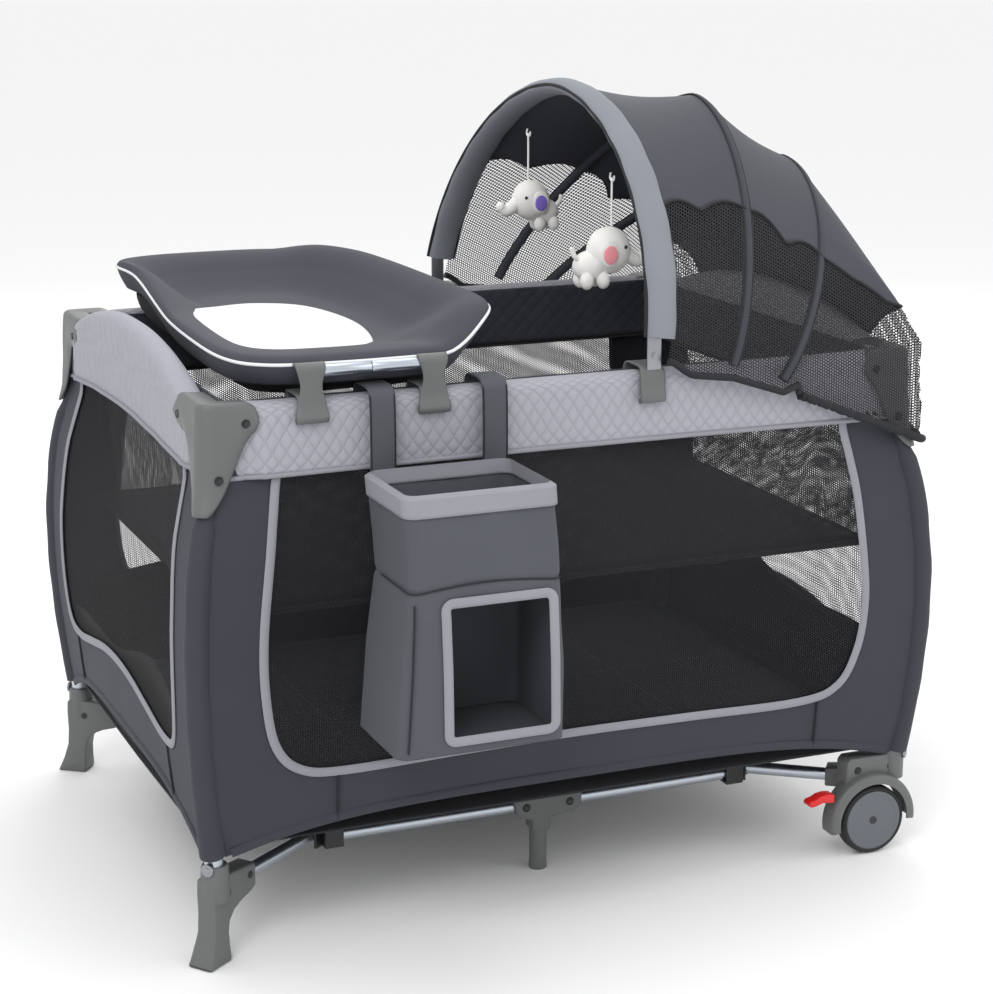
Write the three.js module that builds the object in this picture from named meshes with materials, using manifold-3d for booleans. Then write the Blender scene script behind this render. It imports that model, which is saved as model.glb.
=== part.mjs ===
// Travel play yard: a folding crib frame with a fabric enclosure, a hung bassinet,
// a changing tray, a side caddy and a fan-folding canopy. Millimetres, +Z up.
// X runs along the long side, towards the canopy and the wheels. Y runs across, towards the back.
// The origin is the middle of the floor, under the centre hub's peg.
import * as THREE from "three";
import { mergeVertices } from "three/addons/utils/BufferGeometryUtils.js";
import Module from "manifold-3d";

const wasm = await Module();
wasm.setup();

// ---- driving dimensions ----
const CAP_X = 520; // outer faces of the corner caps
const CAP_Y = 390;
const CAP_TOP = 752;
const RAIL_Z = 735; // axis of the top rails
const LONG_RAIL_Y = 373; // plane of the long rails
const SHORT_RAIL_X = 503; // plane of the short rails
const FRAME_Z = 100; // height of every pivot of the floor frame
const TUBE_R = 9.5;
const TUBE_WALL = 1.3;
const POST_R = 12.5;
const PLATE = 4; // thickness of moulded ears
const GAP = 0.8; // running gap between an ear and its tube
const TOUCH = 0.3; // gap between pieces that touch

// Every link of the fold spans HALF_A in X and HALF_B in Y, so one angle closes the whole frame.
const HALF_A = 425;
const HALF_B = 315;
const HUB_PIVOT_R = 55;
const ARM_L = Math.hypot(HALF_A, HALF_B);
const COS_ARM = HALF_A / ARM_L;
const SIN_ARM = HALF_B / ARM_L;
const HUB_X = HUB_PIVOT_R * COS_ARM;
const HUB_Y = HUB_PIVOT_R * SIN_ARM;
const FOOT_X = HUB_X + HALF_A; // outer pivots of the arms
const FOOT_Y = HUB_Y + HALF_B;
const LONG_LATCH = 40; // half distance between the pivots of a long rail's latch
const SHORT_LATCH = 20;
const STRUT_AT = 0.68; // where along an arm its strut bracket sits, from the hub
const STRUT_DX = 20; // from the arm's axis to the strut's pivot
const STRUT_DY = 18;
const BRACKET_X = HUB_X + STRUT_AT * HALF_A;
const BRACKET_Y = HUB_Y + STRUT_AT * HALF_B;
const STRUT_Y = BRACKET_Y + STRUT_DY;
const STRUT_OUT_X = BRACKET_X - STRUT_DX;
const STRUT_IN_X = STRUT_OUT_X - STRUT_AT * HALF_A;

// Post curve: how far the post's axis stands out from its corner line, by height
const CORNER_X = 495;
const CORNER_Y = 365;
const BOW = [[130, 22], [220, 34], [330, 42], [430, 43], [510, 37], [560, 30], [612, 17], [642, 9], [748, 8]];
const FABRIC_OUT = 17; // from the post's axis to the outside of the fabric
const FABRIC_T = 2.2;
const HEM_Z = 160;
const FLOOR_T = 5;
const SLEEVE_TOP = 750;
const SLEEVE_LOW = 652;
const SLEEVE_DEPTH = 36;
const ARCH_RISE = 46; // how much the short sleeves rise at their middle

const WHEEL_X = 475;
const WHEEL_Y = 400;
const WHEEL_R = 52;
const WHEEL_W = 24;
const FENDER_R = 70;
const FENDER_IN = 58;

const BASSINET_X = 480;
const BASSINET_Y = 350;
const BASSINET_LOW = 452;
const BASSINET_TOP = 747;

const MATTRESS_X = 466; // clears the corner caps as it is lifted past them
const MATTRESS_Y = 340;

const HOOK_OUT = CAP_Y + 6.5; // outer face of everything hooked over the long rails
const HOOK_IN = CAP_Y + 0.5;
const HOOK_TOP = SLEEVE_TOP + 0.6;

const CLIP_X = 106; // canopy clips and the front bow's pivot
const BOW_Y = 405;
// Canopy bows: foot, tilt, height along the bow's plane, squareness of the arch and rod radius
const BOWS = [
  { name: "canopy_front_bow", x: 111, z: 764, tilt: 8, rise: 338, power: 1.85, r: 6 },
  { name: "canopy_middle_bow", x: 222, z: 752, tilt: 24.6, rise: 352, power: 1.5, r: 4 },
  { name: "canopy_rear_bow", x: 300, z: 726, tilt: 42, rise: 334, power: 1.5, r: 4 },
];

// ---- colours ----
const paint = (color, roughness, metalness = 0) => new THREE.MeshStandardMaterial({ color, roughness, metalness });
const SILVER = paint("#a7adb3", 0.35, 0.9);
const GREY_PLASTIC = paint("#787c7a", 0.5);
const BLACK_PLASTIC = paint("#26282b", 0.45);
const SLATE = paint("#3e404c", 0.9);
const LIGHT_GREY = paint("#aaaab4", 0.9);
const TYRE = paint("#18191b", 0.8);
const RED = paint("#b3262b", 0.4);
const WHITE = paint("#e9e8e6", 0.9);

// ---- helpers ----
const yard = new THREE.Group();

// A manifold solid from a closed three.js geometry
function solid(geometry) {
  const bare = geometry.index ? geometry.toNonIndexed() : geometry.clone();
  bare.deleteAttribute("normal");
  bare.deleteAttribute("uv");
  const merged = mergeVertices(bare, 1e-4);
  const vertProperties = merged.attributes.position.array;
  const triVerts = new Uint32Array(merged.index.array);
  if (signedVolume(vertProperties, triVerts) < 0) {
    for (let i = 0; i < triVerts.length; i += 3) {
      [triVerts[i], triVerts[i + 1]] = [triVerts[i + 1], triVerts[i]];
    }
  }
  return new wasm.Manifold(new wasm.Mesh({ numProp: 3, vertProperties, triVerts }));
}

function signedVolume(p, t) {
  const [a, b, c] = [new THREE.Vector3(), new THREE.Vector3(), new THREE.Vector3()];
  let volume = 0;
  for (let i = 0; i < t.length; i += 3) {
    a.fromArray(p, 3 * t[i]);
    b.fromArray(p, 3 * t[i + 1]);
    c.fromArray(p, 3 * t[i + 2]);
    volume += a.dot(b.cross(c)) / 6;
  }
  return volume;
}

function join(...solids) {
  return solids.reduce((sum, next) => sum.add(next));
}

function place(name, material, ...solids) {
  const { vertProperties, triVerts } = join(...solids).getMesh();
  const geometry = new THREE.BufferGeometry();
  geometry.setAttribute("position", new THREE.BufferAttribute(vertProperties, 3));
  geometry.setIndex(new THREE.BufferAttribute(triVerts, 1));
  geometry.computeVertexNormals();
  const mesh = new THREE.Mesh(geometry, material);
  mesh.name = name;
  yard.add(mesh);
}

// A box between two corners
function box(x0, x1, y0, y1, z0, z1) {
  const geometry = new THREE.BoxGeometry(Math.abs(x1 - x0), Math.abs(y1 - y0), Math.abs(z1 - z0));
  geometry.translate((x0 + x1) / 2, (y0 + y1) / 2, (z0 + z1) / 2);
  return solid(geometry);
}

// A box turned about Z, its length along the direction (cos, sin), centred at (x, y)
function turnedBox(x, y, cos, sin, along0, along1, side0, side1, z0, z1) {
  const geometry = new THREE.BoxGeometry(along1 - along0, side1 - side0, z1 - z0);
  geometry.translate((along0 + along1) / 2, (side0 + side1) / 2, (z0 + z1) / 2);
  geometry.rotateZ(Math.atan2(sin, cos));
  geometry.translate(x, y, 0);
  return solid(geometry);
}

// A round bar, or a cone when the radii differ, standing on (x, y)
function post(x, y, z0, z1, r0, r1 = r0, sides = 14) {
  const geometry = new THREE.CylinderGeometry(r1, r0, z1 - z0, sides);
  geometry.rotateX(Math.PI / 2);
  geometry.translate(x, y, (z0 + z1) / 2);
  return solid(geometry);
}

// A round bar along Y
function barY(x, z, y0, y1, r, sides = 20) {
  const geometry = new THREE.CylinderGeometry(r, r, Math.abs(y1 - y0), sides);
  geometry.translate(x, (y0 + y1) / 2, z);
  return solid(geometry);
}

// An open-ended tube, or a bar when the wall is 0, along a list of points
function tube(points, r, wall = TUBE_WALL, sides = 10, steps = 1) {
  const section = new THREE.Shape().absarc(0, 0, r, 0, 2 * Math.PI);
  if (wall > 0) {
    section.holes.push(new THREE.Path().absarc(0, 0, r - wall, 0, 2 * Math.PI, true));
  }
  const at = points.map((p) => new THREE.Vector3(...p));
  const path = at.length === 2 ? new THREE.LineCurve3(...at) : new THREE.CatmullRomCurve3(at);
  return solid(new THREE.ExtrudeGeometry(section, { steps, extrudePath: path, curveSegments: sides / 2 }));
}

// A rectangle with rounded corners, as a shape about its middle
function roundRect(halfX, halfY, r) {
  const shape = new THREE.Shape();
  shape.absarc(halfX - r, halfY - r, r, 0, Math.PI / 2);
  shape.absarc(r - halfX, halfY - r, r, Math.PI / 2, Math.PI);
  shape.absarc(r - halfX, r - halfY, r, Math.PI, 1.5 * Math.PI);
  shape.absarc(halfX - r, r - halfY, r, 1.5 * Math.PI, 2 * Math.PI);
  return shape;
}

function slab(shape, x, y, z0, z1, curveSegments = 4) {
  const geometry = new THREE.ExtrudeGeometry(shape, { depth: z1 - z0, bevelEnabled: false, curveSegments });
  geometry.translate(x, y, z0);
  return solid(geometry);
}

// A closed outline of (y, z) points, extruded along X, or of (x, z) points along Y
function outlineX(points, x0, x1) {
  const shape = new THREE.Shape(points.map(([y, z]) => new THREE.Vector2(y, z)));
  const geometry = new THREE.ExtrudeGeometry(shape, { depth: x1 - x0, bevelEnabled: false });
  const toX = new THREE.Matrix4().set(0, 0, 1, x0, 1, 0, 0, 0, 0, 1, 0, 0, 0, 0, 0, 1);
  return solid(geometry.applyMatrix4(toX));
}

function outlineY(points, y0, y1) {
  const shape = new THREE.Shape(points.map(([x, z]) => new THREE.Vector2(x, z)));
  const geometry = new THREE.ExtrudeGeometry(shape, { depth: y1 - y0, bevelEnabled: false });
  const toY = new THREE.Matrix4().set(1, 0, 0, 0, 0, 0, 1, y0, 0, 1, 0, 0, 0, 0, 0, 1);
  return solid(geometry.applyMatrix4(toY));
}

// A sheet of given thickness: a box whose vertices are moved onto the surface f(u, v, w)
function sheet(nu, nv, f) {
  const geometry = new THREE.BoxGeometry(1, 1, 1, nu, nv, 1);
  const p = geometry.attributes.position;
  const target = new THREE.Vector3();
  for (let i = 0; i < p.count; i += 1) {
    f(p.getX(i) + 0.5, p.getY(i) + 0.5, p.getZ(i) + 0.5, target);
    p.setXYZ(i, target.x, target.y, target.z);
  }
  return solid(geometry);
}

// How far the posts stand out at a height
function bowAt(z) {
  const last = BOW.length - 1;
  if (z <= BOW[0][0]) return BOW[0][1];
  for (let i = 0; i < last; i += 1) {
    const [z0, t0] = BOW[i];
    const [z1, t1] = BOW[i + 1];
    if (z <= z1) return t0 + ((t1 - t0) * (z - z0)) / (z1 - z0);
  }
  return BOW[last][1];
}

const CORNERS = [
  { tag: "front_left", sx: -1, sy: -1 },
  { tag: "front_right", sx: 1, sy: -1 },
  { tag: "back_left", sx: -1, sy: 1 },
  { tag: "back_right", sx: 1, sy: 1 },
];

// ---- floor frame ----
function makeHub() {
  const pieces = [
    post(0, 0, 88, 120, 41, 38, 20),
    post(0, 0, 12, 90, 12, 14),
    post(0, 0, 0, 12, 20, 13),
  ];
  for (const { sx, sy } of CORNERS) {
    const inner = TUBE_R + GAP;
    for (const side of [-inner - PLATE, inner]) {
      pieces.push(turnedBox(0, 0, sx * COS_ARM, sy * SIN_ARM, 28, 66, side, side + PLATE, 88, 114));
    }
  }
  place("center_hub", BLACK_PLASTIC, ...pieces);
}

function makeArm({ tag, sx, sy }) {
  const at = (along) => [sx * COS_ARM * along, sy * SIN_ARM * along, FRAME_Z];
  const past = 2;
  place(`arm_${tag}`, SILVER, tube([at(HUB_PIVOT_R - past), at(HUB_PIVOT_R + ARM_L + past)], TUBE_R));
}

function makeStrutBracket({ tag, sx, sy }) {
  const inner = TUBE_R + GAP;
  const outer = inner + PLATE;
  const along = HUB_PIVOT_R + STRUT_AT * ARM_L;
  const arm = (a0, a1, s0, s1, z0, z1) =>
    turnedBox(0, 0, sx * COS_ARM, sy * SIN_ARM, along + a0, along + a1, s0, s1, FRAME_Z + z0, FRAME_Z + z1);
  const x = sx * STRUT_OUT_X;
  const y = sy * STRUT_Y;
  const ears = [-outer, inner].map((side) => arm(-17, 17, side, side + PLATE, -16, 14));
  const bridge = arm(-17, -12, -outer, outer, -16, -11.5);
  const forks = [-outer, inner].map((side) => box(x - sx * 12, x + sx * 15, y + side, y + side + PLATE, 87, 112));
  const back = box(x + sx * 12, x + sx * 15, y - outer, y + outer, 87, 112);
  const floorPlate = box(x - sx * 12, x + sx * 15, y - outer, y + outer, 86, 89);
  const corridor = arm(-60, 60, -inner, inner, -40, 40);
  const strutFork = join(...forks, back, floorPlate).subtract(corridor);
  place(`strut_bracket_${tag}`, BLACK_PLASTIC, ...ears, bridge, strutFork);
}

function makeStrut({ tag, sx, sy }) {
  const y = sy * STRUT_Y;
  const ends = [STRUT_OUT_X + 2, STRUT_IN_X - 2].map((x) => [sx * x, y, FRAME_Z]);
  place(`strut_${tag}`, SILVER, tube(ends, TUBE_R));
}

function makeMidLeg(tag, sy) {
  const y = sy * STRUT_Y;
  const inner = TUBE_R + GAP;
  const outer = inner + PLATE;
  const ears = [-outer, inner].map((side) => box(-38, 38, y + side, y + side + PLATE, 87, 114));
  const top = box(-38, 38, y - outer, y + outer, 110.7, 114);
  const core = box(-13, 13, y - outer, y + outer, 87, 114);
  place(`mid_leg_${tag}`, GREY_PLASTIC, ...ears, top, core, post(0, y, 14, 90, 11, 13), post(0, y, 0, 14, 15, 12));
}

// ---- corners ----
function postPath({ sx, sy }, low) {
  return BOW.map(([z, t]) => [sx * (CORNER_X + t), sy * (CORNER_Y + t), z === BOW[0][0] ? low : z]);
}

// The fork that holds an arm's outer end, open upwards and towards the hub
function armFork(sx, sy, reach) {
  const inner = TUBE_R + GAP;
  const outer = inner + PLATE;
  const fork = (a0, a1, s0, s1, z0, z1) =>
    turnedBox(sx * FOOT_X, sy * FOOT_Y, sx * COS_ARM, sy * SIN_ARM, a0, a1, s0, s1, FRAME_Z + z0, FRAME_Z + z1);
  return [
    fork(-14, reach, -outer, -inner, -15, 15),
    fork(-14, reach, inner, outer, -15, 15),
    fork(-14, reach, -outer, outer, -15, -11),
    fork(13, reach, -outer, outer, -15, 15),
  ];
}

function makeLeftCorner(corner) {
  const { tag, sx, sy } = corner;
  const bottom = BOW[0][1];
  const x = sx * (CORNER_X + bottom);
  const y = sy * (CORNER_Y + bottom);
  const tubeAndSocket = [tube(postPath(corner, 116), POST_R, TUBE_WALL, 10, 11), post(x, y, 82, 150, 17, 16.5)];
  const sole = [
    new THREE.Vector3(x, y, 90),
    new THREE.Vector3(x + sx * 6, y, 45),
    new THREE.Vector3(x + sx * 14, y, 0),
  ];
  const shin = sheet(2, 2, (u, v, w, out) => {
    const k = w < 0.5 ? 2 : 0;
    const half = k === 0 ? 14 : 21;
    out.copy(sole[k]);
    out.x += (u - 0.5) * 2 * half;
    out.y += (v - 0.5) * 2 * half;
  });
  place(`post_and_foot_${tag}`, GREY_PLASTIC, ...tubeAndSocket, shin, ...armFork(sx, sy, 52));
}

function makeRightCorner(corner) {
  const { tag, sx, sy } = corner;
  const upright = tube(postPath(corner, 116), POST_R, TUBE_WALL, 10, 11);
  const bottom = BOW[0][1];
  const x = sx * (CORNER_X + bottom);
  const y = sy * (CORNER_Y + bottom);
  const back = sy * (WHEEL_Y - 20);
  const ring = barY(WHEEL_X, WHEEL_R, back, sy * (WHEEL_Y + 14), FENDER_R, 24)
    .subtract(barY(WHEEL_X, WHEEL_R, sy * (WHEEL_Y - 16), sy * (WHEEL_Y + 15), FENDER_IN, 24))
    .subtract(box(WHEEL_X - 90, WHEEL_X + 90, sy * (WHEEL_Y - 40), sy * (WHEEL_Y + 40), -30, WHEEL_R - 6));
  const socket = post(x, y, 108, 150, 17, 17);
  const neck = box(WHEEL_X - 20, x, back, sy * (WHEEL_Y - 34), 60, 118);
  const axle = barY(WHEEL_X, WHEEL_R, sy * (WHEEL_Y - 17), sy * (WHEEL_Y + 15), 5, 12);
  const boss = barY(WHEEL_X, WHEEL_R, back, sy * (WHEEL_Y - 13), 10, 14);
  const web = box(WHEEL_X - 12, WHEEL_X + 12, back, sy * (WHEEL_Y - 34), 42, 118);
  const fork = armFork(sx, sy, 34);
  place(`post_and_caster_${tag}`, GREY_PLASTIC, upright, ring, socket, neck, web, boss, axle, ...fork);

  const half = WHEEL_W / 2;
  const profile = [
    [5.6, -half + 3], [34, -half + 3], [36, -half], [WHEEL_R - 3, -half], [WHEEL_R, -half + 3],
    [WHEEL_R, half - 3], [WHEEL_R - 3, half], [36, half], [34, half - 3], [5.6, half - 3], [5.6, -half + 3],
  ].map(([r, h]) => new THREE.Vector2(r, h));
  const wheel = new THREE.LatheGeometry(profile, 22);
  wheel.translate(WHEEL_X, sy * (WHEEL_Y + 0.5), WHEEL_R);
  place(`wheel_${tag}`, TYRE, solid(wheel));

  const lever = box(370, 409, sy * (WHEEL_Y - 8), sy * (WHEEL_Y + 8), 91, 99);
  const toe = box(366, 378, sy * (WHEEL_Y - 11), sy * (WHEEL_Y + 11), 90, 103);
  place(`brake_lever_${tag}`, RED, lever, toe);
}

function makeCap({ tag, sx, sy }) {
  const wall = 3;
  const inX = CAP_X - 34;
  const inY = CAP_Y - 34;
  const tip = 640;
  const wingX = [[CAP_X, CAP_TOP], [442, CAP_TOP], [442, 702], [CAP_X - 14, tip], [CAP_X, tip]];
  const wingY = [[CAP_Y, CAP_TOP], [277, CAP_TOP], [277, 702], [CAP_Y - 14, tip], [CAP_Y, tip]];
  const flat = (points, s) => points.map(([a, z]) => [s * a, z]);
  const span = (s, a, b) => [Math.min(s * a, s * b), Math.max(s * a, s * b)];
  const alongX = outlineY(flat(wingX, sx), ...span(sy, inY, CAP_Y));
  const alongY = outlineX(flat(wingY, sy), ...span(sx, inX, CAP_X));
  const slotX = box(sx * 400, sx * 482, sy * (inY + wall), sy * (CAP_Y - wall), 600, CAP_TOP - wall);
  const slotY = box(sx * (inX + wall), sx * (CAP_X - wall), sy * 240, sy * 352, 600, CAP_TOP - wall);
  const well = box(sx * (inX + 1), sx * (CAP_X - 1.6), sy * (inY + 1), sy * (CAP_Y - 1.6), 600, CAP_TOP - wall);
  place(`cap_${tag}`, GREY_PLASTIC, join(alongX, alongY).subtract(slotX).subtract(slotY).subtract(well));
}

// ---- top rails ----
// Each rail is two tubes that hinge on the caps, with a latch between them that stays level.
function makeLongRail(tag, sy) {
  const y = sy * LONG_RAIL_Y;
  for (const [side, sx] of [["left", -1], ["right", 1]]) {
    const ends = [LONG_LATCH + HALF_A + 9, LONG_LATCH - 2].map((x) => [sx * x, y, RAIL_Z]);
    place(`rail_${tag}_${side}`, SILVER, tube(ends, TUBE_R));
  }
  makeLatch(tag, LONG_LATCH + 25, (along, across, z) => [along, y + across, z]);
}

function makeShortRail(tag, sx) {
  const x = sx * SHORT_RAIL_X;
  for (const [side, sy] of [["front", -1], ["back", 1]]) {
    const ends = [SHORT_LATCH + HALF_B + 9, SHORT_LATCH - 2].map((y) => [x, sy * y, RAIL_Z]);
    place(`rail_${tag}_${side}`, SILVER, tube(ends, TUBE_R));
  }
  makeLatch(tag, SHORT_LATCH + 25, (along, across, z) => [x + across, along, z]);
}

function makeLatch(tag, reach, at) {
  const inner = TUBE_R + GAP;
  const outer = inner + 2.6;
  const low = RAIL_Z - 13.6;
  const block = (a0, a1, c0, c1, z0, z1) => {
    const p = at(a0, c0, z0);
    const q = at(a1, c1, z1);
    return box(p[0], q[0], p[1], q[1], z0, z1);
  };
  const housing = join(
    block(-reach, reach, -outer, -inner, low, RAIL_Z + 9),
    block(-reach, reach, inner, outer, low, RAIL_Z + 9),
    block(-reach, reach, -outer, outer, low, low + 3),
  ).subtract(block(-8.6, 8.6, -6.6, 6.6, low - 1, low + 4));
  place(`rail_latch_${tag}`, BLACK_PLASTIC, housing);
  const stem = block(-8, 8, -6, 6, low - 7, low + 8);
  const rim = block(-9.6, 9.6, -7.6, 7.6, low + 3 + TOUCH, low + 6);
  place(`latch_button_${tag}`, RED, stem, rim);
}

// ---- soft parts ----
// A prism whose sides follow the curve of the posts
function bowedPrism(offset, z0, z1, steps) {
  const shape = roundRect(CORNER_X + offset, CORNER_Y + offset, Math.max(offset, 4));
  const settings = { depth: z1 - z0, steps, bevelEnabled: false, curveSegments: 3 };
  const geometry = new THREE.ExtrudeGeometry(shape, settings);
  const p = geometry.attributes.position;
  for (let i = 0; i < p.count; i += 1) {
    const z = p.getZ(i) + z0;
    const t = bowAt(z);
    p.setXYZ(i, p.getX(i) + Math.sign(p.getX(i)) * t, p.getY(i) + Math.sign(p.getY(i)) * t, z);
  }
  return solid(geometry);
}

// Upper outline of a sleeve along its rail, as (distance, height) points
function sleeveOutline(half, rise, top, low) {
  const steps = rise > 0 ? 8 : 1;
  const points = [];
  for (let i = 0; i <= steps; i += 1) {
    const s = -half + (2 * half * i) / steps;
    points.push([s, top + rise * (1 - (s / half) ** 2)]);
  }
  points.push([half, low], [-half, low]);
  return points;
}

function makeSleeve(along, half, outer, sign, rise) {
  const [o0, o1] = sign > 0 ? [outer - SLEEVE_DEPTH, outer] : [-outer, -outer + SLEEVE_DEPTH];
  const shell = along(sleeveOutline(half, rise, SLEEVE_TOP, SLEEVE_LOW), o0, o1);
  const room = along(sleeveOutline(half + 1, rise, SLEEVE_TOP - FABRIC_T, SLEEVE_LOW - 20), o0 + FABRIC_T, o1 - FABRIC_T);
  return shell.subtract(room);
}

function makeEnclosure() {
  const steps = 10;
  const outside = bowedPrism(FABRIC_OUT, HEM_Z, SLEEVE_LOW + 8, steps);
  const inside = bowedPrism(FABRIC_OUT - FABRIC_T, HEM_Z + FLOOR_T, SLEEVE_LOW + 40, steps);
  let cover = outside.subtract(inside);
  for (const sign of [-1, 1]) {
    cover = cover.add(makeSleeve(outlineY, 440, CAP_Y, sign, 0));
    cover = cover.add(makeSleeve(outlineX, 275, CAP_X, sign, ARCH_RISE));
  }
  for (const { sx, sy } of CORNERS) {
    cover = cover.subtract(box(sx * 441, sx * 560, sy * 276, sy * 440, 636, 800));
    const out = bowAt(HEM_Z);
    cover = cover.subtract(post(sx * (CORNER_X + out), sy * (CORNER_Y + out), 150, 172, POST_R + 3));
  }
  place("enclosure_cover", SLATE, cover);
}

function makeMattress() {
  const low = HEM_Z + FLOOR_T + 1;
  place("mattress", SLATE, slab(roundRect(MATTRESS_X, MATTRESS_Y, 30), 0, 0, low, low + 22));
}

function makeBassinet() {
  const wall = 3;
  const outside = slab(roundRect(BASSINET_X, BASSINET_Y, 22), 0, 0, BASSINET_LOW, BASSINET_TOP);
  const room = slab(roundRect(BASSINET_X - wall, BASSINET_Y - wall, 19), 0, 0, BASSINET_LOW + 8, BASSINET_TOP + 5);
  place("bassinet", SLATE, outside.subtract(room));
}

// ---- changing tray ----
const TRAY = { x: -285, y: -5, halfX: 192, halfY: 382, low: 800, rim: 850, bed: 822 };

function makeChangerPad() {
  const { x, y, halfX, halfY, low, rim, bed } = TRAY;
  const outside = slab(roundRect(halfX, halfY, 60), x, y, low, rim);
  const dish = slab(roundRect(halfX - 30, halfY - 34, 44), x, y, bed, rim + 5);
  place("changer_pad", SLATE, outside.subtract(dish));
}

// A clip over a long rail: outer leg, bridge over the sleeve, inner lip and a stem up to the tube
function railClip(x, halfWidth, sy, outerLow, stemTop) {
  return [
    box(x - halfWidth, x + halfWidth, sy * HOOK_IN, sy * HOOK_OUT, outerLow, HOOK_TOP + 6),
    box(x - halfWidth, x + halfWidth, sy * 341, sy * HOOK_OUT, HOOK_TOP, HOOK_TOP + 6),
    box(x - halfWidth, x + halfWidth, sy * 341, sy * 346, 730, HOOK_TOP + 6),
    box(x - halfWidth * 0.7, x + halfWidth * 0.7, sy * (HOOK_OUT - 12), sy * HOOK_OUT, HOOK_TOP, stemTop),
  ];
}

function makeChangerFrame() {
  const z = 785;
  const y = HOOK_OUT - 8;
  const clipX = [-374, -208];
  const pieces = [];
  for (const sy of [-1, 1]) {
    pieces.push(tube([[clipX[0] - 26, sy * y, z], [clipX[1] + 26, sy * y, z]], 8, 0));
    for (const x of clipX) pieces.push(...railClip(x, 20, sy, 724, z + 10));
  }
  for (const x of [clipX[0] + 30, clipX[1] - 30]) {
    pieces.push(tube([[x, -y, z], [x, y, z]], 7, 0));
  }
  place("changer_frame", GREY_PLASTIC, ...pieces);
}

// ---- caddy ----
// A block with a rectangle at each end: [x0, x1, y0, y1] at z0 and at z1
function taper(low, high, z0, z1) {
  return sheet(1, 1, (u, v, w, out) => {
    const r = w < 0.5 ? low : high;
    out.set(r[0] + u * (r[1] - r[0]), r[2] + v * (r[3] - r[2]), w < 0.5 ? z0 : z1);
  });
}

function makeCaddy() {
  const wall = 4;
  const inset = ([x0, x1, y0, y1]) => [x0 + wall, x1 - wall, y0 + wall, y1 - wall];
  const rim = [-310, -106, -562, -407];
  const waist = [-308, -104, -576, -430];
  const base = [-334, -84, -600, -430];
  const outside = join(taper(waist, rim, 520, 652), taper(base, waist, 315, 520));
  const pocket = taper(inset(waist), inset(rim), 520, 656);
  const chamber = taper(inset(base), inset(waist), 319, 516);
  const window = box(-278, -136, -620, -560, 330, 506);
  const body = outside.subtract(pocket).subtract(chamber).subtract(window);
  const straps = [];
  for (const x of [-282, -126]) {
    straps.push(box(x - 15, x + 15, -409, -407, 630, 757));
    straps.push(box(x - 15, x + 15, -409, -342, 755, 757));
    straps.push(box(x - 15, x + 15, -344, -342, 746.8, 757));
  }
  place("caddy", SLATE, body, ...straps);
}

// ---- canopy ----
// A point on a bow's arch, v from 0 at the front foot to 1 at the back foot
function onBow(bow, v, out, spread = 0) {
  const angle = v * Math.PI;
  const c = Math.cos(angle);
  const s = Math.max(Math.sin(angle), 0);
  const tilt = THREE.MathUtils.degToRad(bow.tilt);
  const height = (bow.rise + spread) * s ** (2 / bow.power);
  const y = -(BOW_Y + spread) * Math.sign(c) * Math.abs(c) ** (2 / bow.power);
  return out.set(bow.x + height * Math.sin(tilt), y, bow.z + height * Math.cos(tilt));
}

function makeBow(bow) {
  const points = [];
  const steps = 20;
  for (let i = 0; i <= steps; i += 1) {
    points.push(onBow(bow, i / steps, new THREE.Vector3()).toArray());
  }
  place(bow.name, BLACK_PLASTIC, tube(points, bow.r, 0, 8, 22));
}

function makeCanopyClips() {
  for (const [side, sy] of [["front", -1], ["back", 1]]) {
    place(`canopy_clip_${side}`, GREY_PLASTIC, ...railClip(CLIP_X, 19, sy, 706, 776));
  }
}

// The cover runs from just behind the front bow over the other two, then over the rails' outer
// edges and down to a hem round the end of the yard.
const COVER_T = 2.5;
const COVER_ACROSS = 22; // steps from the front foot to the back foot
const COVER_CORNER = Math.cos((6 * Math.PI) / COVER_ACROSS); // cosine at which the hem turns the corner
const COVER_LINES = [0, 0.25, 0.5, 0.875, 1]; // bows, shoulder and hem along the cover

// A point round the end of the yard, outside its corners, and how far along the end it is
function roundEnd(v, spread, out) {
  const c = Math.cos(v * Math.PI);
  const side = BOW_Y - 5 + spread;
  const end = CAP_X + 8 + spread;
  const onSide = Math.max(0, (Math.abs(c) - COVER_CORNER) / (1 - COVER_CORNER));
  const onEnd = Math.min(1, Math.abs(c) / COVER_CORNER);
  out.set(end - (end - 330) * onSide, -side * Math.sign(c) * onEnd, 0);
  return 1 - onEnd ** 2;
}

function makeCanopyCover() {
  const [front, middle, rear] = BOWS;
  const stations = [{ ...front, x: front.x + 12 }, middle, rear];
  const cover = sheet(8, COVER_ACROSS, (u, v, w, out) => {
    const spread = w * COVER_T;
    const lines = stations.map((bow) => onBow(bow, v, new THREE.Vector3(), 8 + spread));
    const shoulder = new THREE.Vector3();
    const arch = roundEnd(v, spread, shoulder);
    const hem = shoulder.clone();
    shoulder.z = 757 + spread + (ARCH_RISE + 6) * arch;
    hem.z = 690 + 40 * arch;
    lines.push(shoulder, hem);
    let k = 0;
    while (k < 3 && u > COVER_LINES[k + 1]) k += 1;
    const t = (u - COVER_LINES[k]) / (COVER_LINES[k + 1] - COVER_LINES[k]);
    out.lerpVectors(lines[k], lines[k + 1], t);
    const belly = k === 2 ? Math.sin(t * Math.PI) * Math.sin(v * Math.PI) : 0;
    out.x += 18 * belly;
    out.z += 12 * belly;
  });
  place("canopy_cover", SLATE, cover);
}

// ---- hanging toys ----
const TOYS = [
  { tag: "back", y: 90, top: 1024, length: 68, size: 0.95 },
  { tag: "front", y: -203, top: 988, length: 66, size: 1.05 },
];
const TOY_X = 136;

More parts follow.
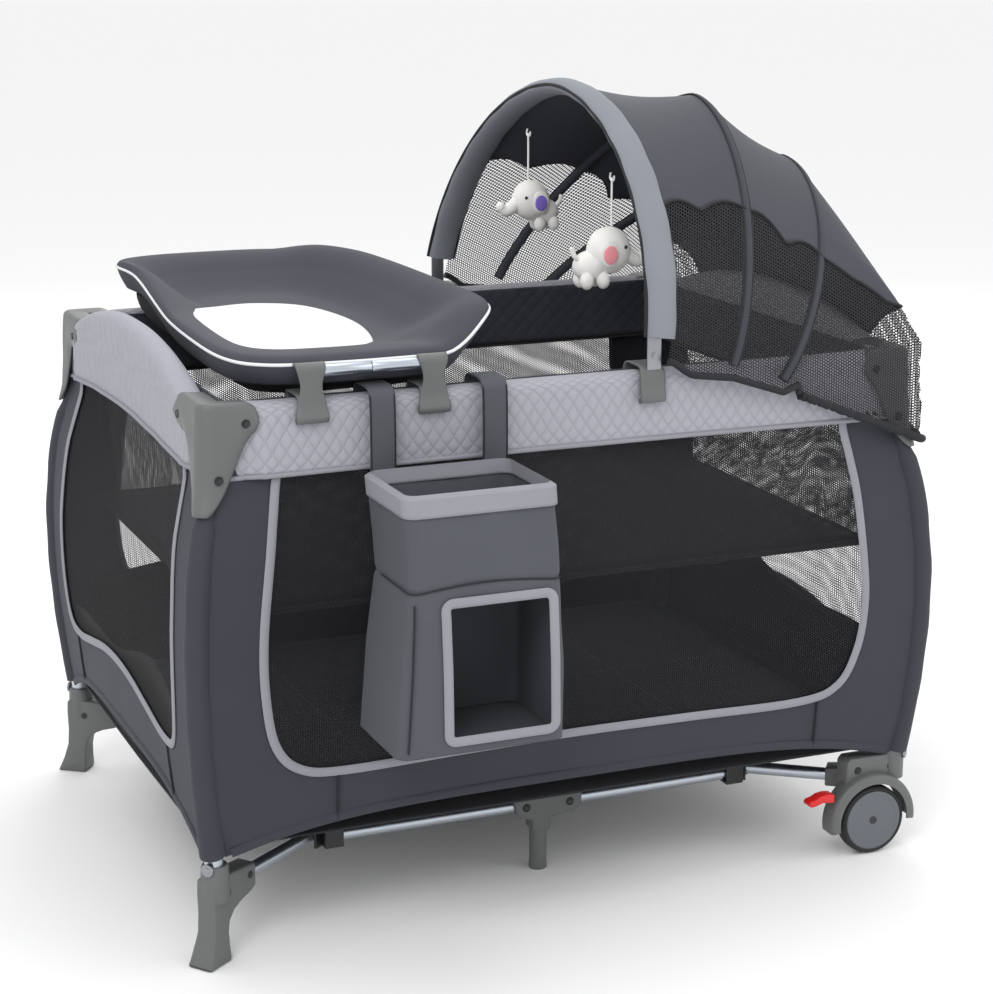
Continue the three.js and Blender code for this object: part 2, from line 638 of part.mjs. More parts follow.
function makeToy({ tag, y, top, length, size }) {
  const cordR = 1.5;
  const low = top - length;
  place(`toy_cord_${tag}`, WHITE, tube([[TOY_X, y, top], [TOY_X, y, low]], cordR, 0, 8, 4));
  const ball = (x, dy, z, rx, ry, rz) => {
    const geometry = new THREE.SphereGeometry(1, 10, 7);
    geometry.scale(rx * size, ry * size, rz * size);
    geometry.translate(TOY_X + x * size, y + dy * size, z);
    return solid(geometry);
  };
  const head = low - TOUCH - 32 * size;
  place(`toy_${tag}`, WHITE, ball(0, 0, head, 24, 32, 32), ball(0, -36, head - 14, 13, 15, 20),
    ball(0, 30, head - 22, 19, 26, 22));
}

// ---- assembly ----
makeHub();
for (const corner of CORNERS) {
  makeArm(corner);
  makeStrutBracket(corner);
  makeStrut(corner);
  makeCap(corner);
  if (corner.sx < 0) makeLeftCorner(corner);
  else makeRightCorner(corner);
}
makeMidLeg("front", -1);
makeMidLeg("back", 1);
makeLongRail("front", -1);
makeLongRail("back", 1);
makeShortRail("left", -1);
makeShortRail("right", 1);
makeEnclosure();
makeMattress();
makeBassinet();
makeChangerPad();
makeChangerFrame();
makeCaddy();
makeCanopyClips();
for (const bow of BOWS) makeBow(bow);
makeCanopyCover();
for (const toy of TOYS) makeToy(toy);

export default yard;
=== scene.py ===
"""Travel play yard: fabric walls on a folding frame, a bassinet, a changing tray, a caddy, a canopy."""

import math

import bmesh
import bpy
from mathutils import Matrix, Vector, noise


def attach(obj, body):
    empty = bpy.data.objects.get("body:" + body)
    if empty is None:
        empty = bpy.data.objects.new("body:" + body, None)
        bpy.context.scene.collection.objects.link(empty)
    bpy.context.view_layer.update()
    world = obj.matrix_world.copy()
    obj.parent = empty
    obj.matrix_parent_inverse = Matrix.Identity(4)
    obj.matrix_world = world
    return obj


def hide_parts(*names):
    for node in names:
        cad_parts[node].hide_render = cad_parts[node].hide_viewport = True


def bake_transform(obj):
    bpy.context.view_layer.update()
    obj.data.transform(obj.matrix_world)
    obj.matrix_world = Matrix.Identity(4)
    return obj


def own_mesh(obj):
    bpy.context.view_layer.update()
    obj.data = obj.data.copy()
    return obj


bl_info = {
    "name": "Travel play yard",
    "version": (1, 0, 0),
    "blender": (4, 5, 0),
    "location": "3D View > Sidebar > Play Yard",
    "description": "Builds the looks of a travel play yard around its packed frame",
    "category": "Object",
}

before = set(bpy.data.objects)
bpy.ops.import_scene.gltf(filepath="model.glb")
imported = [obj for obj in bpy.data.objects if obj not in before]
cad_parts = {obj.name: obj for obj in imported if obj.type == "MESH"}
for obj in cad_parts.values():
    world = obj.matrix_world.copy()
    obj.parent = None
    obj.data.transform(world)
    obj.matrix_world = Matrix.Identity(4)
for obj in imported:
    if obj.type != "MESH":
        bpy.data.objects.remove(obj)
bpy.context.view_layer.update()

# ---- sizes shared with the frame, in metres ----
CORNER_X, CORNER_Y = 0.495, 0.365
POST_BOW = (
    (0.116, 0.022), (0.220, 0.034), (0.330, 0.042), (0.430, 0.043), (0.510, 0.037),
    (0.560, 0.030), (0.612, 0.017), (0.642, 0.009), (0.760, 0.008),
)
PANEL_TOP = 0.664
CAP_X, CAP_Y, CAP_TOP = 0.520, 0.390, 0.752
FRAME_Z = 0.100
HUB = Vector((0.0442, 0.0328, FRAME_Z))
FOOT = Vector((0.4692, 0.3478, FRAME_Z))
ARM_COS, ARM_SIN = 0.8034, 0.5955
STRUT_X_OUT, STRUT_X_IN, STRUT_Y = 0.3132, 0.0242, 0.265
WHEEL_X, WHEEL_Y, WHEEL_R = 0.475, 0.400, 0.052
BASSINET_X, BASSINET_Y = 0.480, 0.350
BASSINET_FLOOR, BASSINET_RIM = 0.455, 0.745
BOW_Y = 0.405
CLIP_X = 0.106
# Canopy bows: foot x, foot z, tilt, rise, power of the arch
FRONT_BOW = (0.111, 0.764, 8.0, 0.338, 1.85)
MIDDLE_BOW = (0.222, 0.752, 24.6, 0.352, 1.5)
REAR_BOW = (0.300, 0.726, 42.0, 0.334, 1.5)


# ---- shader graphs ----
class Maths:
    """A socket that can be calculated with."""

    def __init__(self, graph, socket):
        self.graph = graph
        self.socket = socket

    def using(self, operation, *others):
        node = self.graph.node("ShaderNodeMath", {"operation": operation}, {0: self})
        for i, other in enumerate(others, 1):
            self.graph.put(node, i, other)
        return Maths(self.graph, node.outputs[0])

    def __add__(self, other):
        return self.using("ADD", other)

    def __mul__(self, other):
        return self.using("MULTIPLY", other)

    def __sub__(self, other):
        return self.using("SUBTRACT", other)

    def __truediv__(self, other):
        return self.using("DIVIDE", other)

    def __rsub__(self, other):
        return self * -1.0 + other

    __radd__ = __add__
    __rmul__ = __mul__


class Graph:
    """One material and its nodes."""

    def __init__(self, name, colour, roughness, metallic=0.0):
        self.material = bpy.data.materials.new(name)
        self.material.use_nodes = True
        self.tree = self.material.node_tree
        self.shader = self.tree.nodes["Principled BSDF"]
        self.colour = (*colour, 1.0)
        for key, value in (("Base Color", self.colour), ("Roughness", roughness),
                ("Metallic", metallic)):
            self.shader.inputs[key].default_value = value
        self.material.diffuse_color = self.colour

    def put(self, node, key, value):
        if isinstance(value, Maths):
            value = value.socket
        if isinstance(value, bpy.types.NodeSocket):
            self.tree.links.new(value, node.inputs[key])
        else:
            node.inputs[key].default_value = value

    def node(self, kind, settings, sockets):
        node = self.tree.nodes.new(kind)
        for key, value in settings.items():
            setattr(node, key, value)
        for key, value in sockets.items():
            self.put(node, key, value)
        return node

    def place(self, kind="Object"):
        return self.node("ShaderNodeTexCoord", {}, {}).outputs[kind]

    def split(self, vector):
        node = self.node("ShaderNodeSeparateXYZ", {}, {0: vector})
        return [Maths(self, out) for out in node.outputs]

    def noise(self, vector, scale, detail=3.0):
        node = self.node("ShaderNodeTexNoise", {}, {"Vector": vector, "Scale": scale,
            "Detail": detail})
        return Maths(self, node.outputs["Fac"])

    def tint(self, factor, other):
        """Mixes the base colour with another one by factor."""
        node = self.node("ShaderNodeMix", {"data_type": "RGBA"},
            {0: factor, 6: self.colour, 7: (*other, 1.0)})
        self.put(self.shader, "Base Color", node.outputs[2])

    def bump(self, height, strength, distance):
        node = self.node("ShaderNodeBump", {}, {"Height": height, "Strength": strength,
            "Distance": distance})
        self.put(self.shader, "Normal", node.outputs[0])


def shade(colour, factor):
    return tuple(min(1.0, c * factor) for c in colour)


def plastic(name, colour, roughness):
    graph = Graph(name, colour, roughness)
    cloud = graph.noise(graph.place(), 35.0)
    graph.put(graph.shader, "Roughness", cloud * 0.16 + (roughness - 0.08))
    graph.bump(graph.noise(graph.place(), 900.0, 1.0), 0.12, 0.0005)
    return graph.material


def metal(name, colour, roughness):
    graph = Graph(name, colour, roughness, 1.0)
    graph.put(graph.shader, "Roughness", graph.noise(graph.place(),
        60.0) * 0.14 + (roughness - 0.07))
    return graph.material


def cloth(name, colour, roughness=0.85, weave=0.25, soft=0.03):
    graph = Graph(name, colour, roughness)
    graph.shader.inputs["Sheen Weight"].default_value = soft
    place = graph.place()
    fine = graph.noise(place, 1400.0, 2.0)
    broad = graph.noise(place, 9.0, 4.0)
    graph.tint(broad * 0.55 + fine * 0.25, shade(colour, 0.72))
    graph.bump(fine * 0.5 + graph.noise(place, 45.0) * 1.5, weave, 0.0012)
    return graph.material


def quilted(name, colour, pitch):
    """Cloth with stitched diamonds, on the piece's own map in metres."""
    graph = Graph(name, colour, 0.88)
    graph.shader.inputs["Sheen Weight"].default_value = 0.1
    x, y, _ = graph.split(graph.place("UV"))
    lines = None
    for along in (x + y, x - y):
        ridge = (along * (math.pi / pitch)).using("SINE").using("ABSOLUTE").using("POWER", 0.35)
        lines = ridge if lines is None else lines * ridge
    # Painted shade: the stitch grooves, already sunk by the bump below, are also darkened towards a darker copy of the
    # cloth colour.
    graph.tint((1.0 - lines) * 0.26, shade(colour, 0.6))
    graph.bump(lines + graph.noise(graph.place(), 700.0) * 0.05, 0.55, 0.003)
    return graph.material


def embossed(name, colour):
    """Cloth with fine wavy ribs that run down the band."""
    graph = Graph(name, colour, 0.88)
    x, y, _ = graph.split(graph.place("UV"))
    wave = (y * 120.0).using("SINE") * 0.0022 + graph.noise(graph.place(), 30.0) * 0.012
    ribs = ((x + wave) * 900.0).using("SINE")
    graph.tint(ribs * 0.12 + 0.15, shade(colour, 0.7))
    graph.bump(ribs, 0.3, 0.001)
    return graph.material


def netting(name, colour, pitch, edge=-0.9):
    """Knitted mesh: hexagonal holes on the piece's own map in metres."""
    graph = Graph(name, colour, 0.8)
    x, y, _ = graph.split(graph.place("UV"))
    turn = 2.0 * math.pi / pitch
    waves = (x * turn).using("COSINE")
    for side in (-1.0, 1.0):
        waves = waves + (x * (0.5 * turn) + y * (side * 0.866 * turn)).using("COSINE")
    alpha = ((waves - edge) * 3.0).using("MAXIMUM", 0.0).using("MINIMUM", 1.0)
    graph.put(graph.shader, "Alpha", 1.0 - alpha)
    return graph.material


def plush(name, colour):
    graph = Graph(name, colour, 0.95)
    graph.shader.inputs["Sheen Weight"].default_value = 0.4
    graph.bump(graph.noise(graph.place(), 420.0, 4.0), 0.5, 0.002)
    return graph.material


def printed_dark(name, colour, thread):
    """Dark woven floor cloth with pale stitching in a grid."""
    graph = Graph(name, colour, 0.9)
    x, y, _ = graph.split(graph.place())
    stitch = None
    for axis, step in ((x, 0.246), (y, 0.362)):
        near = (axis / step + 0.5).using("FRACT").using("SUBTRACT", 0.5).using("ABSOLUTE")
        line = near.using("LESS_THAN", 0.0035)
        stitch = line if stitch is None else stitch.using("MAXIMUM", line)
    dash = ((x + y) * 700.0).using("SINE").using("GREATER_THAN", -0.2)
    weave = (x * 900.0).using("SINE") * (y * 900.0).using("SINE")
    graph.tint(stitch * dash * 0.5 + weave.using("MAXIMUM", 0.0) * 0.12, thread)
    graph.bump(weave, 0.2, 0.0006)
    return graph.material


MATERIALS = {}


def make_materials(look):
    slate, light, grey = tuple(look.slate), tuple(look.light), tuple(look.plastic)
    MATERIALS.update(
        slate=cloth("slate_cloth", slate),
        slate_dark=cloth("slate_dark_cloth", shade(slate, 0.35)),
        canopy=cloth("canopy_cloth", shade(slate, 1.12), 0.75),
        caddy=cloth("caddy_cloth", (0.075, 0.081, 0.095)),
        tray=cloth("tray_cloth", shade(slate, 1.25)),
        light=cloth("light_cloth", light),
        binding=cloth("binding_tape", shade(light, 0.82), 0.8, 0.4),
        bow=cloth("bow_cloth", (0.22, 0.235, 0.265)),
        quilt=quilted("light_quilt", light, 0.019),
        wavy=embossed("light_wavy", light),
        quilt_dark=quilted("slate_quilt", shade(slate, 1.1), 0.026),
        black=cloth("black_tape", (0.012, 0.012, 0.015)),
        net=netting("wall_net", (0.009, 0.009, 0.012), 0.0032, -0.75),
        net_tight=netting("bassinet_net", (0.009, 0.009, 0.012), 0.0030, -0.15),
        net_canopy=netting("canopy_net", (0.010, 0.010, 0.013), 0.0034, -0.35),
        plastic=plastic("grey_plastic", grey, 0.48),
        disc=plastic("grey_disc", (0.105, 0.115, 0.130), 0.42),
        black_plastic=plastic("black_plastic", (0.016, 0.017, 0.019), 0.4),
        tyre=plastic("tyre", (0.010, 0.010, 0.011), 0.72),
        red=plastic("red_plastic", (0.62, 0.012, 0.014), 0.35),
        silver=metal("silver_tube", (0.50, 0.54, 0.60), 0.30),
        steel=metal("steel_rivet", (0.30, 0.31, 0.33), 0.38),
        pad=cloth("white_pad", (0.86, 0.87, 0.87), 0.9),
        piping=cloth("white_piping", (0.78, 0.79, 0.80), 0.8),
        cord=plush("white_cord", (0.82, 0.82, 0.82)),
        plush=plush("white_plush", (0.80, 0.79, 0.77)),
        purple=plush("purple_plush", (0.20, 0.13, 0.55)),
        pink=plush("pink_plush", (0.85, 0.30, 0.34)),
        mattress=printed_dark("mattress_cloth", (0.018, 0.019, 0.026), (0.16, 0.17, 0.2)),
    )


# ---- mesh helpers ----
def own(bm, name, material, body, replaces=(), smooth=40.0, thick=0.0, offset=-1.0,
        levels=0):
    """Turns a bmesh into a finished piece that rides on a body."""
    bmesh.ops.remove_doubles(bm, verts=bm.verts, dist=2e-5)
    bmesh.ops.dissolve_degenerate(bm, edges=bm.edges, dist=1e-6)
    bmesh.ops.recalc_face_normals(bm, faces=bm.faces)
    for face in bm.faces:
        face.smooth = True
    limit = math.radians(smooth)
    for edge in bm.edges:
        edge.smooth = len(edge.link_faces) != 2 or edge.calc_face_angle(0.0) < limit
    mesh = bpy.data.meshes.new(name)
    bm.to_mesh(mesh)
    bm.free()
    mesh.materials.append(MATERIALS[material])
    piece = bpy.data.objects.new(name, mesh)
    bpy.context.scene.collection.objects.link(piece)
    if thick:
        solidify = piece.modifiers.new("thickness", "SOLIDIFY")
        solidify.thickness, solidify.offset = thick, offset
        solidify.use_even_offset = False
    if levels:
        subsurf = piece.modifiers.new("smooth", "SUBSURF")
        subsurf.levels = subsurf.render_levels = levels
    if body:
        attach(piece, body)
    if replaces:
        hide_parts(*replaces)
    return piece


def grid(nu, nv, surface, metres=(1.0, 1.0), bm=None):
    """A grid of nu by nv faces whose points lie on surface(u, v)."""
    bm = bm or bmesh.new()
    maps = bm.loops.layers.uv.verify()
    made = bmesh.ops.create_grid(bm, x_segments=nu, y_segments=nv, size=0.5)["verts"]
    at = {v: (v.co.x + 0.5, v.co.y + 0.5) for v in made}
    for face in {f for v in made for f in v.link_faces}:
        for loop in face.loops:
            u, v = at[loop.vert]
            loop[maps].uv = (u * metres[0], v * metres[1])
    for vert, (u, v) in at.items():
        vert.co = surface(u, v)
    return bm


def frames(path, closed=False, up=None):
    """A tangent, a side and a normal at each point of a path, without twist."""
    n = len(path)
    out = []
    side = None
    for i in range(n):
        ahead = path[(i + 1) % n] if closed else path[min(i + 1, n - 1)]
        behind = path[i - 1] if closed else path[max(i - 1, 0)]
        along = (ahead - behind).normalized()
        if up is not None:
            side = along.cross(up(i) if callable(up) else up).normalized()
        elif side is None:
            side = along.orthogonal().normalized()
        else:
            side = (side - along * side.dot(along)).normalized()
        out.append((along, side, side.cross(along).normalized()))
    return out


def sweep(path, radius, closed=False, sides=12, flat=1.0, up=None, bm=None, ends=True):
    """A tube along a path. radius is a number or a function of 0 to 1; flat squeezes it along its normal."""
    path = [Vector(p) for p in path]
    turns = frames(path, closed, up)
    n = len(path)
    count = n if closed else n - 1
    cap = 0.0 if closed or not ends else 1.0

    def surface(u, v):
        i = round(u * count) % n
        share = u * count / max(count, 1)
        r = radius(share) if callable(radius) else radius
        _, side, normal = turns[i]
        angle = 2.0 * math.pi * v
        return path[i] + side * (r * math.cos(angle)) + normal * (r * flat * math.sin(angle))

    bm = grid(count, sides, surface, (1.0, 1.0), bm)
    if cap:
        bmesh.ops.remove_doubles(bm, verts=bm.verts, dist=1e-6)
        loops = [e for e in bm.edges if len(e.link_faces) == 1]
        bmesh.ops.holes_fill(bm, edges=loops, sides=sides + 1)
    return bm


def ribbon(path, width, out, closed=False, thick=0.0015):
    """A flat tape along a path, its face turned to out."""
    return sweep(path, width / 2, closed, 10, thick / width * 2, out)


def smooth_path(points, steps, closed=False):
    """A Catmull-Rom line through points."""
    points = [Vector(p) for p in points]
    n = len(points)
    out = []
    for i in range(n if closed else n - 1):
        if closed:
            a, b, c, d = (points[(i + k) % n] for k in (-1, 0, 1, 2))
        else:
            a, b, c, d = (points[min(max(i + k, 0), n - 1)] for k in (-1, 0, 1, 2))
        for k in range(steps):
            t = k / steps
            out.append(
                0.5 * ((2 * b) + (c - a) * t + (2 * a - 5 * b + 4 * c - d) * t * t
                       + (3 * b - 3 * c + d - a) * t ** 3)
            )
    if not closed:
        out.append(points[-1])
    return out


def lathe(profile, centre, axis, sides=40, angle=2 * math.pi, start=0.0, bm=None):
    """A profile of (radius, along) points turned round an axis."""
    bm = bm or bmesh.new()
    axis = Vector(axis).normalized()
    across = axis.orthogonal().normalized()
    if abs(axis.z) < 0.5:
        across = Vector((0, 0, 1)).cross(axis).normalized()
    across = Matrix.Rotation(start, 3, axis) @ across
    centre = Vector(centre)
    verts = [bm.verts.new(centre + across * r + axis * h) for r, h in profile]
    edges = [bm.edges.new(pair) for pair in zip(verts, verts[1:])]
    full = abs(angle - 2 * math.pi) < 1e-6
    bmesh.ops.spin(bm, geom=verts + edges, cent=centre, axis=axis, angle=angle, steps=sides,
        use_merge=full)
    return bm


def plate(outline, origin, along, up, half, bevel=0.003, bm=None, widen=None):
    """An outline of (along, up) points, half as thick to each side, with rounded edges."""
    part = bmesh.new()
    along, up, origin = Vector(along), Vector(up), Vector(origin)
    across = along.cross(up).normalized()
    face = part.faces.new([part.verts.new(origin + along * a + up * b - across * half) for a,
        b in outline])
    grown = bmesh.ops.extrude_face_region(part, geom=[face])["geom"]
    moved = [g for g in grown if isinstance(g, bmesh.types.BMVert)]
    bmesh.ops.translate(part, verts=moved, vec=across * (2 * half))
    rim = [e for e in part.edges if len(e.link_faces) == 2 and e.calc_face_angle(0.0) > 0.6]
    bmesh.ops.bevel(part, geom=rim, offset=bevel, segments=3, profile=0.5, affect="EDGES",
        material=-1)
    if widen:
        for vert in part.verts:
            vert.co = widen(vert.co)
    return merge(bm, part)


def merge(bm, part):
    """Adds one bmesh to another."""
    if bm is None:
        return part
    mesh = bpy.data.meshes.new("passing")
    part.to_mesh(mesh)
    part.free()
    bm.from_mesh(mesh)
    bpy.data.meshes.remove(mesh)
    return bm


def ball(centre, sizes, bm=None, turn=None):
    """A rounded lump."""
    part = bmesh.new()
    bmesh.ops.create_uvsphere(part, u_segments=24, v_segments=16, radius=1.0)
    matrix = Matrix.Translation(centre) @ (turn or Matrix.Identity(4)) @ Matrix.Diagonal((*sizes,
        1.0))
    bmesh.ops.transform(part, matrix=matrix, verts=part.verts)
    return merge(bm, part)


def smoothstep(t):
    t = min(max(t, 0.0), 1.0)
    return t * t * (3 - 2 * t)


def bow_at(z):
    """How far a post's axis stands out from its corner line at a height."""
    table = POST_BOW
    if z <= table[0][0]:
        return table[0][1]
    for k in range(len(table) - 1):
        if z <= table[k + 1][0]:
            a, b, c, d = (table[min(max(k + j, 0), len(table) - 1)][1] for j in (-1, 0, 1, 2))
            t = (z - table[k][0]) / (table[k + 1][0] - table[k][0])
            return 0.5 * (2 * b + (c - a) * t + (2 * a - 5 * b + 4 * c - d) * t * t + (3 * b - 3 * c + d - a) * t ** 3)
    return table[-1][1]


def round_rect(half_x, half_y, radius, steps=8):
    """Points of a rectangle with rounded corners, in the plane."""
    points = []
    for cx, cy, first in ((1, 1, 0), (-1, 1, 1), (-1, -1, 2), (1, -1, 3)):
        for k in range(steps + 1):
            a = (first + k / steps) * math.pi / 2
            points.append((cx * (half_x - radius) + radius * math.cos(a),
                cy * (half_y - radius) + radius * math.sin(a)))
    return points


def screw(place, out, bm=None, radius=0.0048):
    """A recessed cross-head screw on a face that looks towards out."""
    profile = [(0.0, 0.0006), (radius * 0.55, 0.0008), (radius * 0.62, 0.0002),
        (radius * 0.8, 0.0002), (radius, 0.0012), (radius * 1.12, 0.0), (radius * 1.1, -0.002)]
    return lathe(profile, place, out, 20, bm=bm)


CORNERS = (("front_left", -1, -1), ("front_right", 1, -1), ("back_left", -1, 1),
    ("back_right", 1, 1))


def gather(piece, side):
    """Gives a piece of one side of the enclosure its own copy of its mesh."""
    if side in ("front", "back"):
        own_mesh(piece)
    else:
        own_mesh(piece)
    return piece


# ---- enclosure ----
class Side:
    """One side of the enclosure: distance along it, height and distance outwards to a point."""

    def __init__(self, name, body, half, base, turn, arch):
        self.name, self.body, self.half = name, body, half
        self.base, self.turn, self.arch = base, turn, arch

    def reach(self, z):
        return self.half + bow_at(z)

    def at(self, s, z, out):
        d = self.base + bow_at(z) + out
        if self.turn == "y-":
            return Vector((s, -d, z))
        if self.turn == "y+":
            return Vector((-s, d, z))
        if self.turn == "x-":
            return Vector((-d, -s, z))
        return Vector((d, s, z))

    def hem(self, s):
        """Height of the bottom edge: it rises between the corners."""
        t = min(abs(s) / self.half, 1.0)
        return 0.150 + self.arch * (1 - t ** 4)

    @property
    def outward(self):
        along = 1 if self.turn[1] == "+" else -1
        return Vector((along, 0, 0)) if self.turn[0] == "x" else Vector((0, along, 0))


LONG_WINDOW = ((-0.416, 0.690), (-0.419, 0.652), (-0.437, 0.548), (-0.451, 0.443), (-0.450, 0.362),
    (-0.437, 0.297), (-0.404, 0.262), (-0.341, 0.252), (-0.170, 0.256), (0.0, 0.258),
    (0.170, 0.256), (0.341, 0.254), (0.404, 0.272), (0.432, 0.325), (0.441, 0.390), (0.438, 0.453),
    (0.427, 0.560), (0.413, 0.652), (0.411, 0.690),)
SHORT_WINDOW = ((-0.285, 0.700), (-0.292, 0.652), (-0.312, 0.548), (-0.326, 0.443), (-0.322, 0.340),
    (-0.300, 0.282), (-0.245, 0.272), (-0.160, 0.286), (-0.080, 0.300), (0.0, 0.305),
    (0.080, 0.300), (0.160, 0.286), (0.245, 0.272), (0.300, 0.282), (0.322, 0.340), (0.326, 0.443),
    (0.312, 0.548), (0.292, 0.652), (0.285, 0.700),)
SIDES = (
    Side("front", "corner_front_left", CORNER_X, CORNER_Y, "y-", 0.040),
    Side("back", "corner_back_left", CORNER_X, CORNER_Y, "y+", 0.040),
    Side("left", "corner_front_left", CORNER_Y, CORNER_X, "x-", 0.048),
    Side("right", "corner_front_right", CORNER_Y, CORNER_X, "x+", 0.048),
)


def hit(polygon, centre, angle):
    """Distance from a centre to a closed outline along an angle."""
    dx, dz = math.cos(angle), math.sin(angle)
    best = 0.0
    for (x0, z0), (x1, z1) in zip(polygon, polygon[1:] + polygon[:1]):
        ax, az, ex, ez = x0 - centre[0], z0 - centre[1], x1 - x0, z1 - z0
        cross = dx * ez - dz * ex
        if abs(cross) < 1e-12:
            continue
        along = (ax * ez - az * ex) / cross
        share = (ax * dz - az * dx) / cross
        if along > 0 and -1e-9 <= share <= 1 + 1e-9:
            best = max(best, along)
    return best


def make_side(side):
    long_side = side.name in ("front", "back")
    window = LONG_WINDOW if long_side else SHORT_WINDOW
    line = [(p.x, p.y) for p in smooth_path([(a, b, 0) for a, b in window], 6)]
    top = PANEL_TOP + 0.012
    line = [p for p in line if p[1] < top - 0.003]
    line = [(line[0][0], top - 0.003)] + line + [(line[-1][0], top - 0.003)]
    edge_in = 0.006
    outer = [(s, side.hem(s)) for s in (side.half * (k / 30 - 1) * 1.02 for k in range(61))]
    heights = [0.17 + (top - 0.17) * k / 16 for k in range(17)]
    outer += [(side.reach(z) - edge_in, z) for z in heights]
    outer += [(-side.reach(z) + edge_in, z) for z in reversed(heights)]
    centre = (0.0, 0.45)
    count = 220
    angles = [2 * math.pi * k / count for k in range(count)]
    for polygon in (outer, line):
        for s, z in ((polygon[0], polygon[-1]) if polygon is line else (outer[0], outer[60],
                outer[77], outer[78])):
            corner = math.atan2(z - centre[1], s - centre[0]) % (2 * math.pi)
            near = min(range(count), key=lambda k: abs(angles[k] - corner))
            angles[near] = corner
    inner_r = [hit(line, centre, a) for a in angles]
    outer_r = [max(hit(outer, centre, a), r + 0.002) for a, r in zip(angles, inner_r)]

    def panel(u, v):
        k = round(u * count) % count
        r = inner_r[k] + (outer_r[k] - inner_r[k]) * v
        s, z = centre[0] + r * math.cos(angles[k]), centre[1] + r * math.sin(angles[k])
        wave = 0.0016 * noise.noise(Vector((s * 9, z * 7, side.base * 10)))
        pull = 0.0022 * math.sin(s * 60) * smoothstep((z - 0.60) / 0.06)
        return side.at(s, z, 0.0085 + wave + pull)

    bm = grid(count, 10, panel)
    gather(own(bm, f"panel_{side.name}", "slate", side.body,
               ("enclosure_cover",) if side.name == "front" else (), thick=0.0014), side.name)

    rings = 14

    def net(u, v):
        k = round(u * count) % count
        r = inner_r[k] * v
        s, z = centre[0] + r * math.cos(angles[k]), centre[1] + r * math.sin(angles[k])
        return side.at(s, z, 0.0065)

    bm = grid(count, rings, net)
    maps = bm.loops.layers.uv.verify()
    for face in bm.faces:
        for loop in face.loops:
            co = loop.vert.co
            loop[maps].uv = ((co.x if long_side else co.y), co.z)
    piece = own(bm, f"mesh_{side.name}", "net", side.body)
    gather(piece, side.name)

    tape = [side.at(s, z, 0.0102) for s, z in line if z < top - 0.004]
    gather(own(ribbon(tape, 0.0125, side.outward, thick=0.0022), f"window_binding_{side.name}",
        "binding", side.body), side.name)
    low = [side.at(s, side.hem(s) + 0.005, 0.0094)
        for s in (side.half * (k / 30 - 1) * 1.005 for k in range(61))]
    gather(own(ribbon(low, 0.013, side.outward, thick=0.0024), f"hem_{side.name}", "slate",
        side.body), side.name)
    bm = None
    for s in ((-0.352, 0.372) if long_side else (-0.262, 0.262)):
        z0, z1 = side.hem(s), hit(line, centre, math.atan2(0.26 - centre[1], s))
        z1 = centre[1] + z1 * math.sin(math.atan2(0.26 - centre[1], s)) - 0.006
        seam = [side.at(s, z0 + (z1 - z0) * k / 8, 0.0098) for k in range(9)]
        bm = merge(bm, ribbon(seam, 0.0034, side.outward, thick=0.0022))
    gather(own(bm, f"panel_seams_{side.name}", "slate_dark", side.body), side.name)


def make_floor():
    """Fabric floor of the enclosure, with a black band round the inside of the back and end walls: painted shade
    inside the enclosure.
    """
    reach = bow_at(0.165)
    half_x, half_y, corner = CORNER_X + reach, CORNER_Y + reach, 0.025
    for half, sy in (("front", -1), ("back", 1)):
        def surface(u, v, sy=sy):
            into = max(0.0, v * half_y - (half_y - corner))
            wide = half_x - corner + math.sqrt(max(0.0, corner ** 2 - into ** 2))
            return Vector(((2 * u - 1) * wide, sy * half_y * v, 0.1625 - 0.004 * (1 - v)))

        piece = own(grid(40, 30, surface), f"yard_floor_{half}", "slate_dark",
            f"corner_{half}_left", thick=0.003)
        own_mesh(piece)
    # Painted shade: black bands inside the back and end walls stand in for the shade that falls low inside the
    # enclosure.
    for side in SIDES[1:]:
        def band(u, v, side=side):
            s = (u * 2 - 1) * (side.half - 0.004)
            wave = 0.010 * math.sin(u * 5.2 + side.base * 9) + 0.006 * math.sin(u * 11)
            z = 0.159 + v * (0.152 + 2.2 * wave)
            return side.at(s, z, -0.004 - 0.014 * v * (1 - v) - wave * 0.3)

        piece = own(grid(60, 12, band), f"painted_shade_band_{side.name}", "black", side.body,
            thick=0.002)
        gather(piece, side.name)


def make_post_wraps():
    for tag, sx, sy in CORNERS:
        steps = 34
        path = []
        for k in range(steps + 1):
            z = 0.152 + (0.700 - 0.152) * k / steps
            t = bow_at(z)
            path.append((sx * (CORNER_X + t), sy * (CORNER_Y + t), z))

        def girth(share):
            fold = 0.0005 * math.sin(share * 40)
            return 0.0162 - 0.0050 * smoothstep((share - 0.79) / 0.045) + fold + 0.001 * smoothstep((0.05 - share) / 0.05)

        own(sweep(path, girth, sides=24), f"post_wrap_{tag}", "slate", f"corner_{tag}")
        t = bow_at(0.135)
        x, y = sx * (CORNER_X + t), sy * (CORNER_Y + t)
        own(lathe([(0.0, 0.0), (0.0125, 0.0), (0.0125, 0.05), (0.0, 0.05)], (x, y, 0.112),
            (0, 0, 1), 28), f"post_end_{tag}", "silver", f"corner_{tag}")


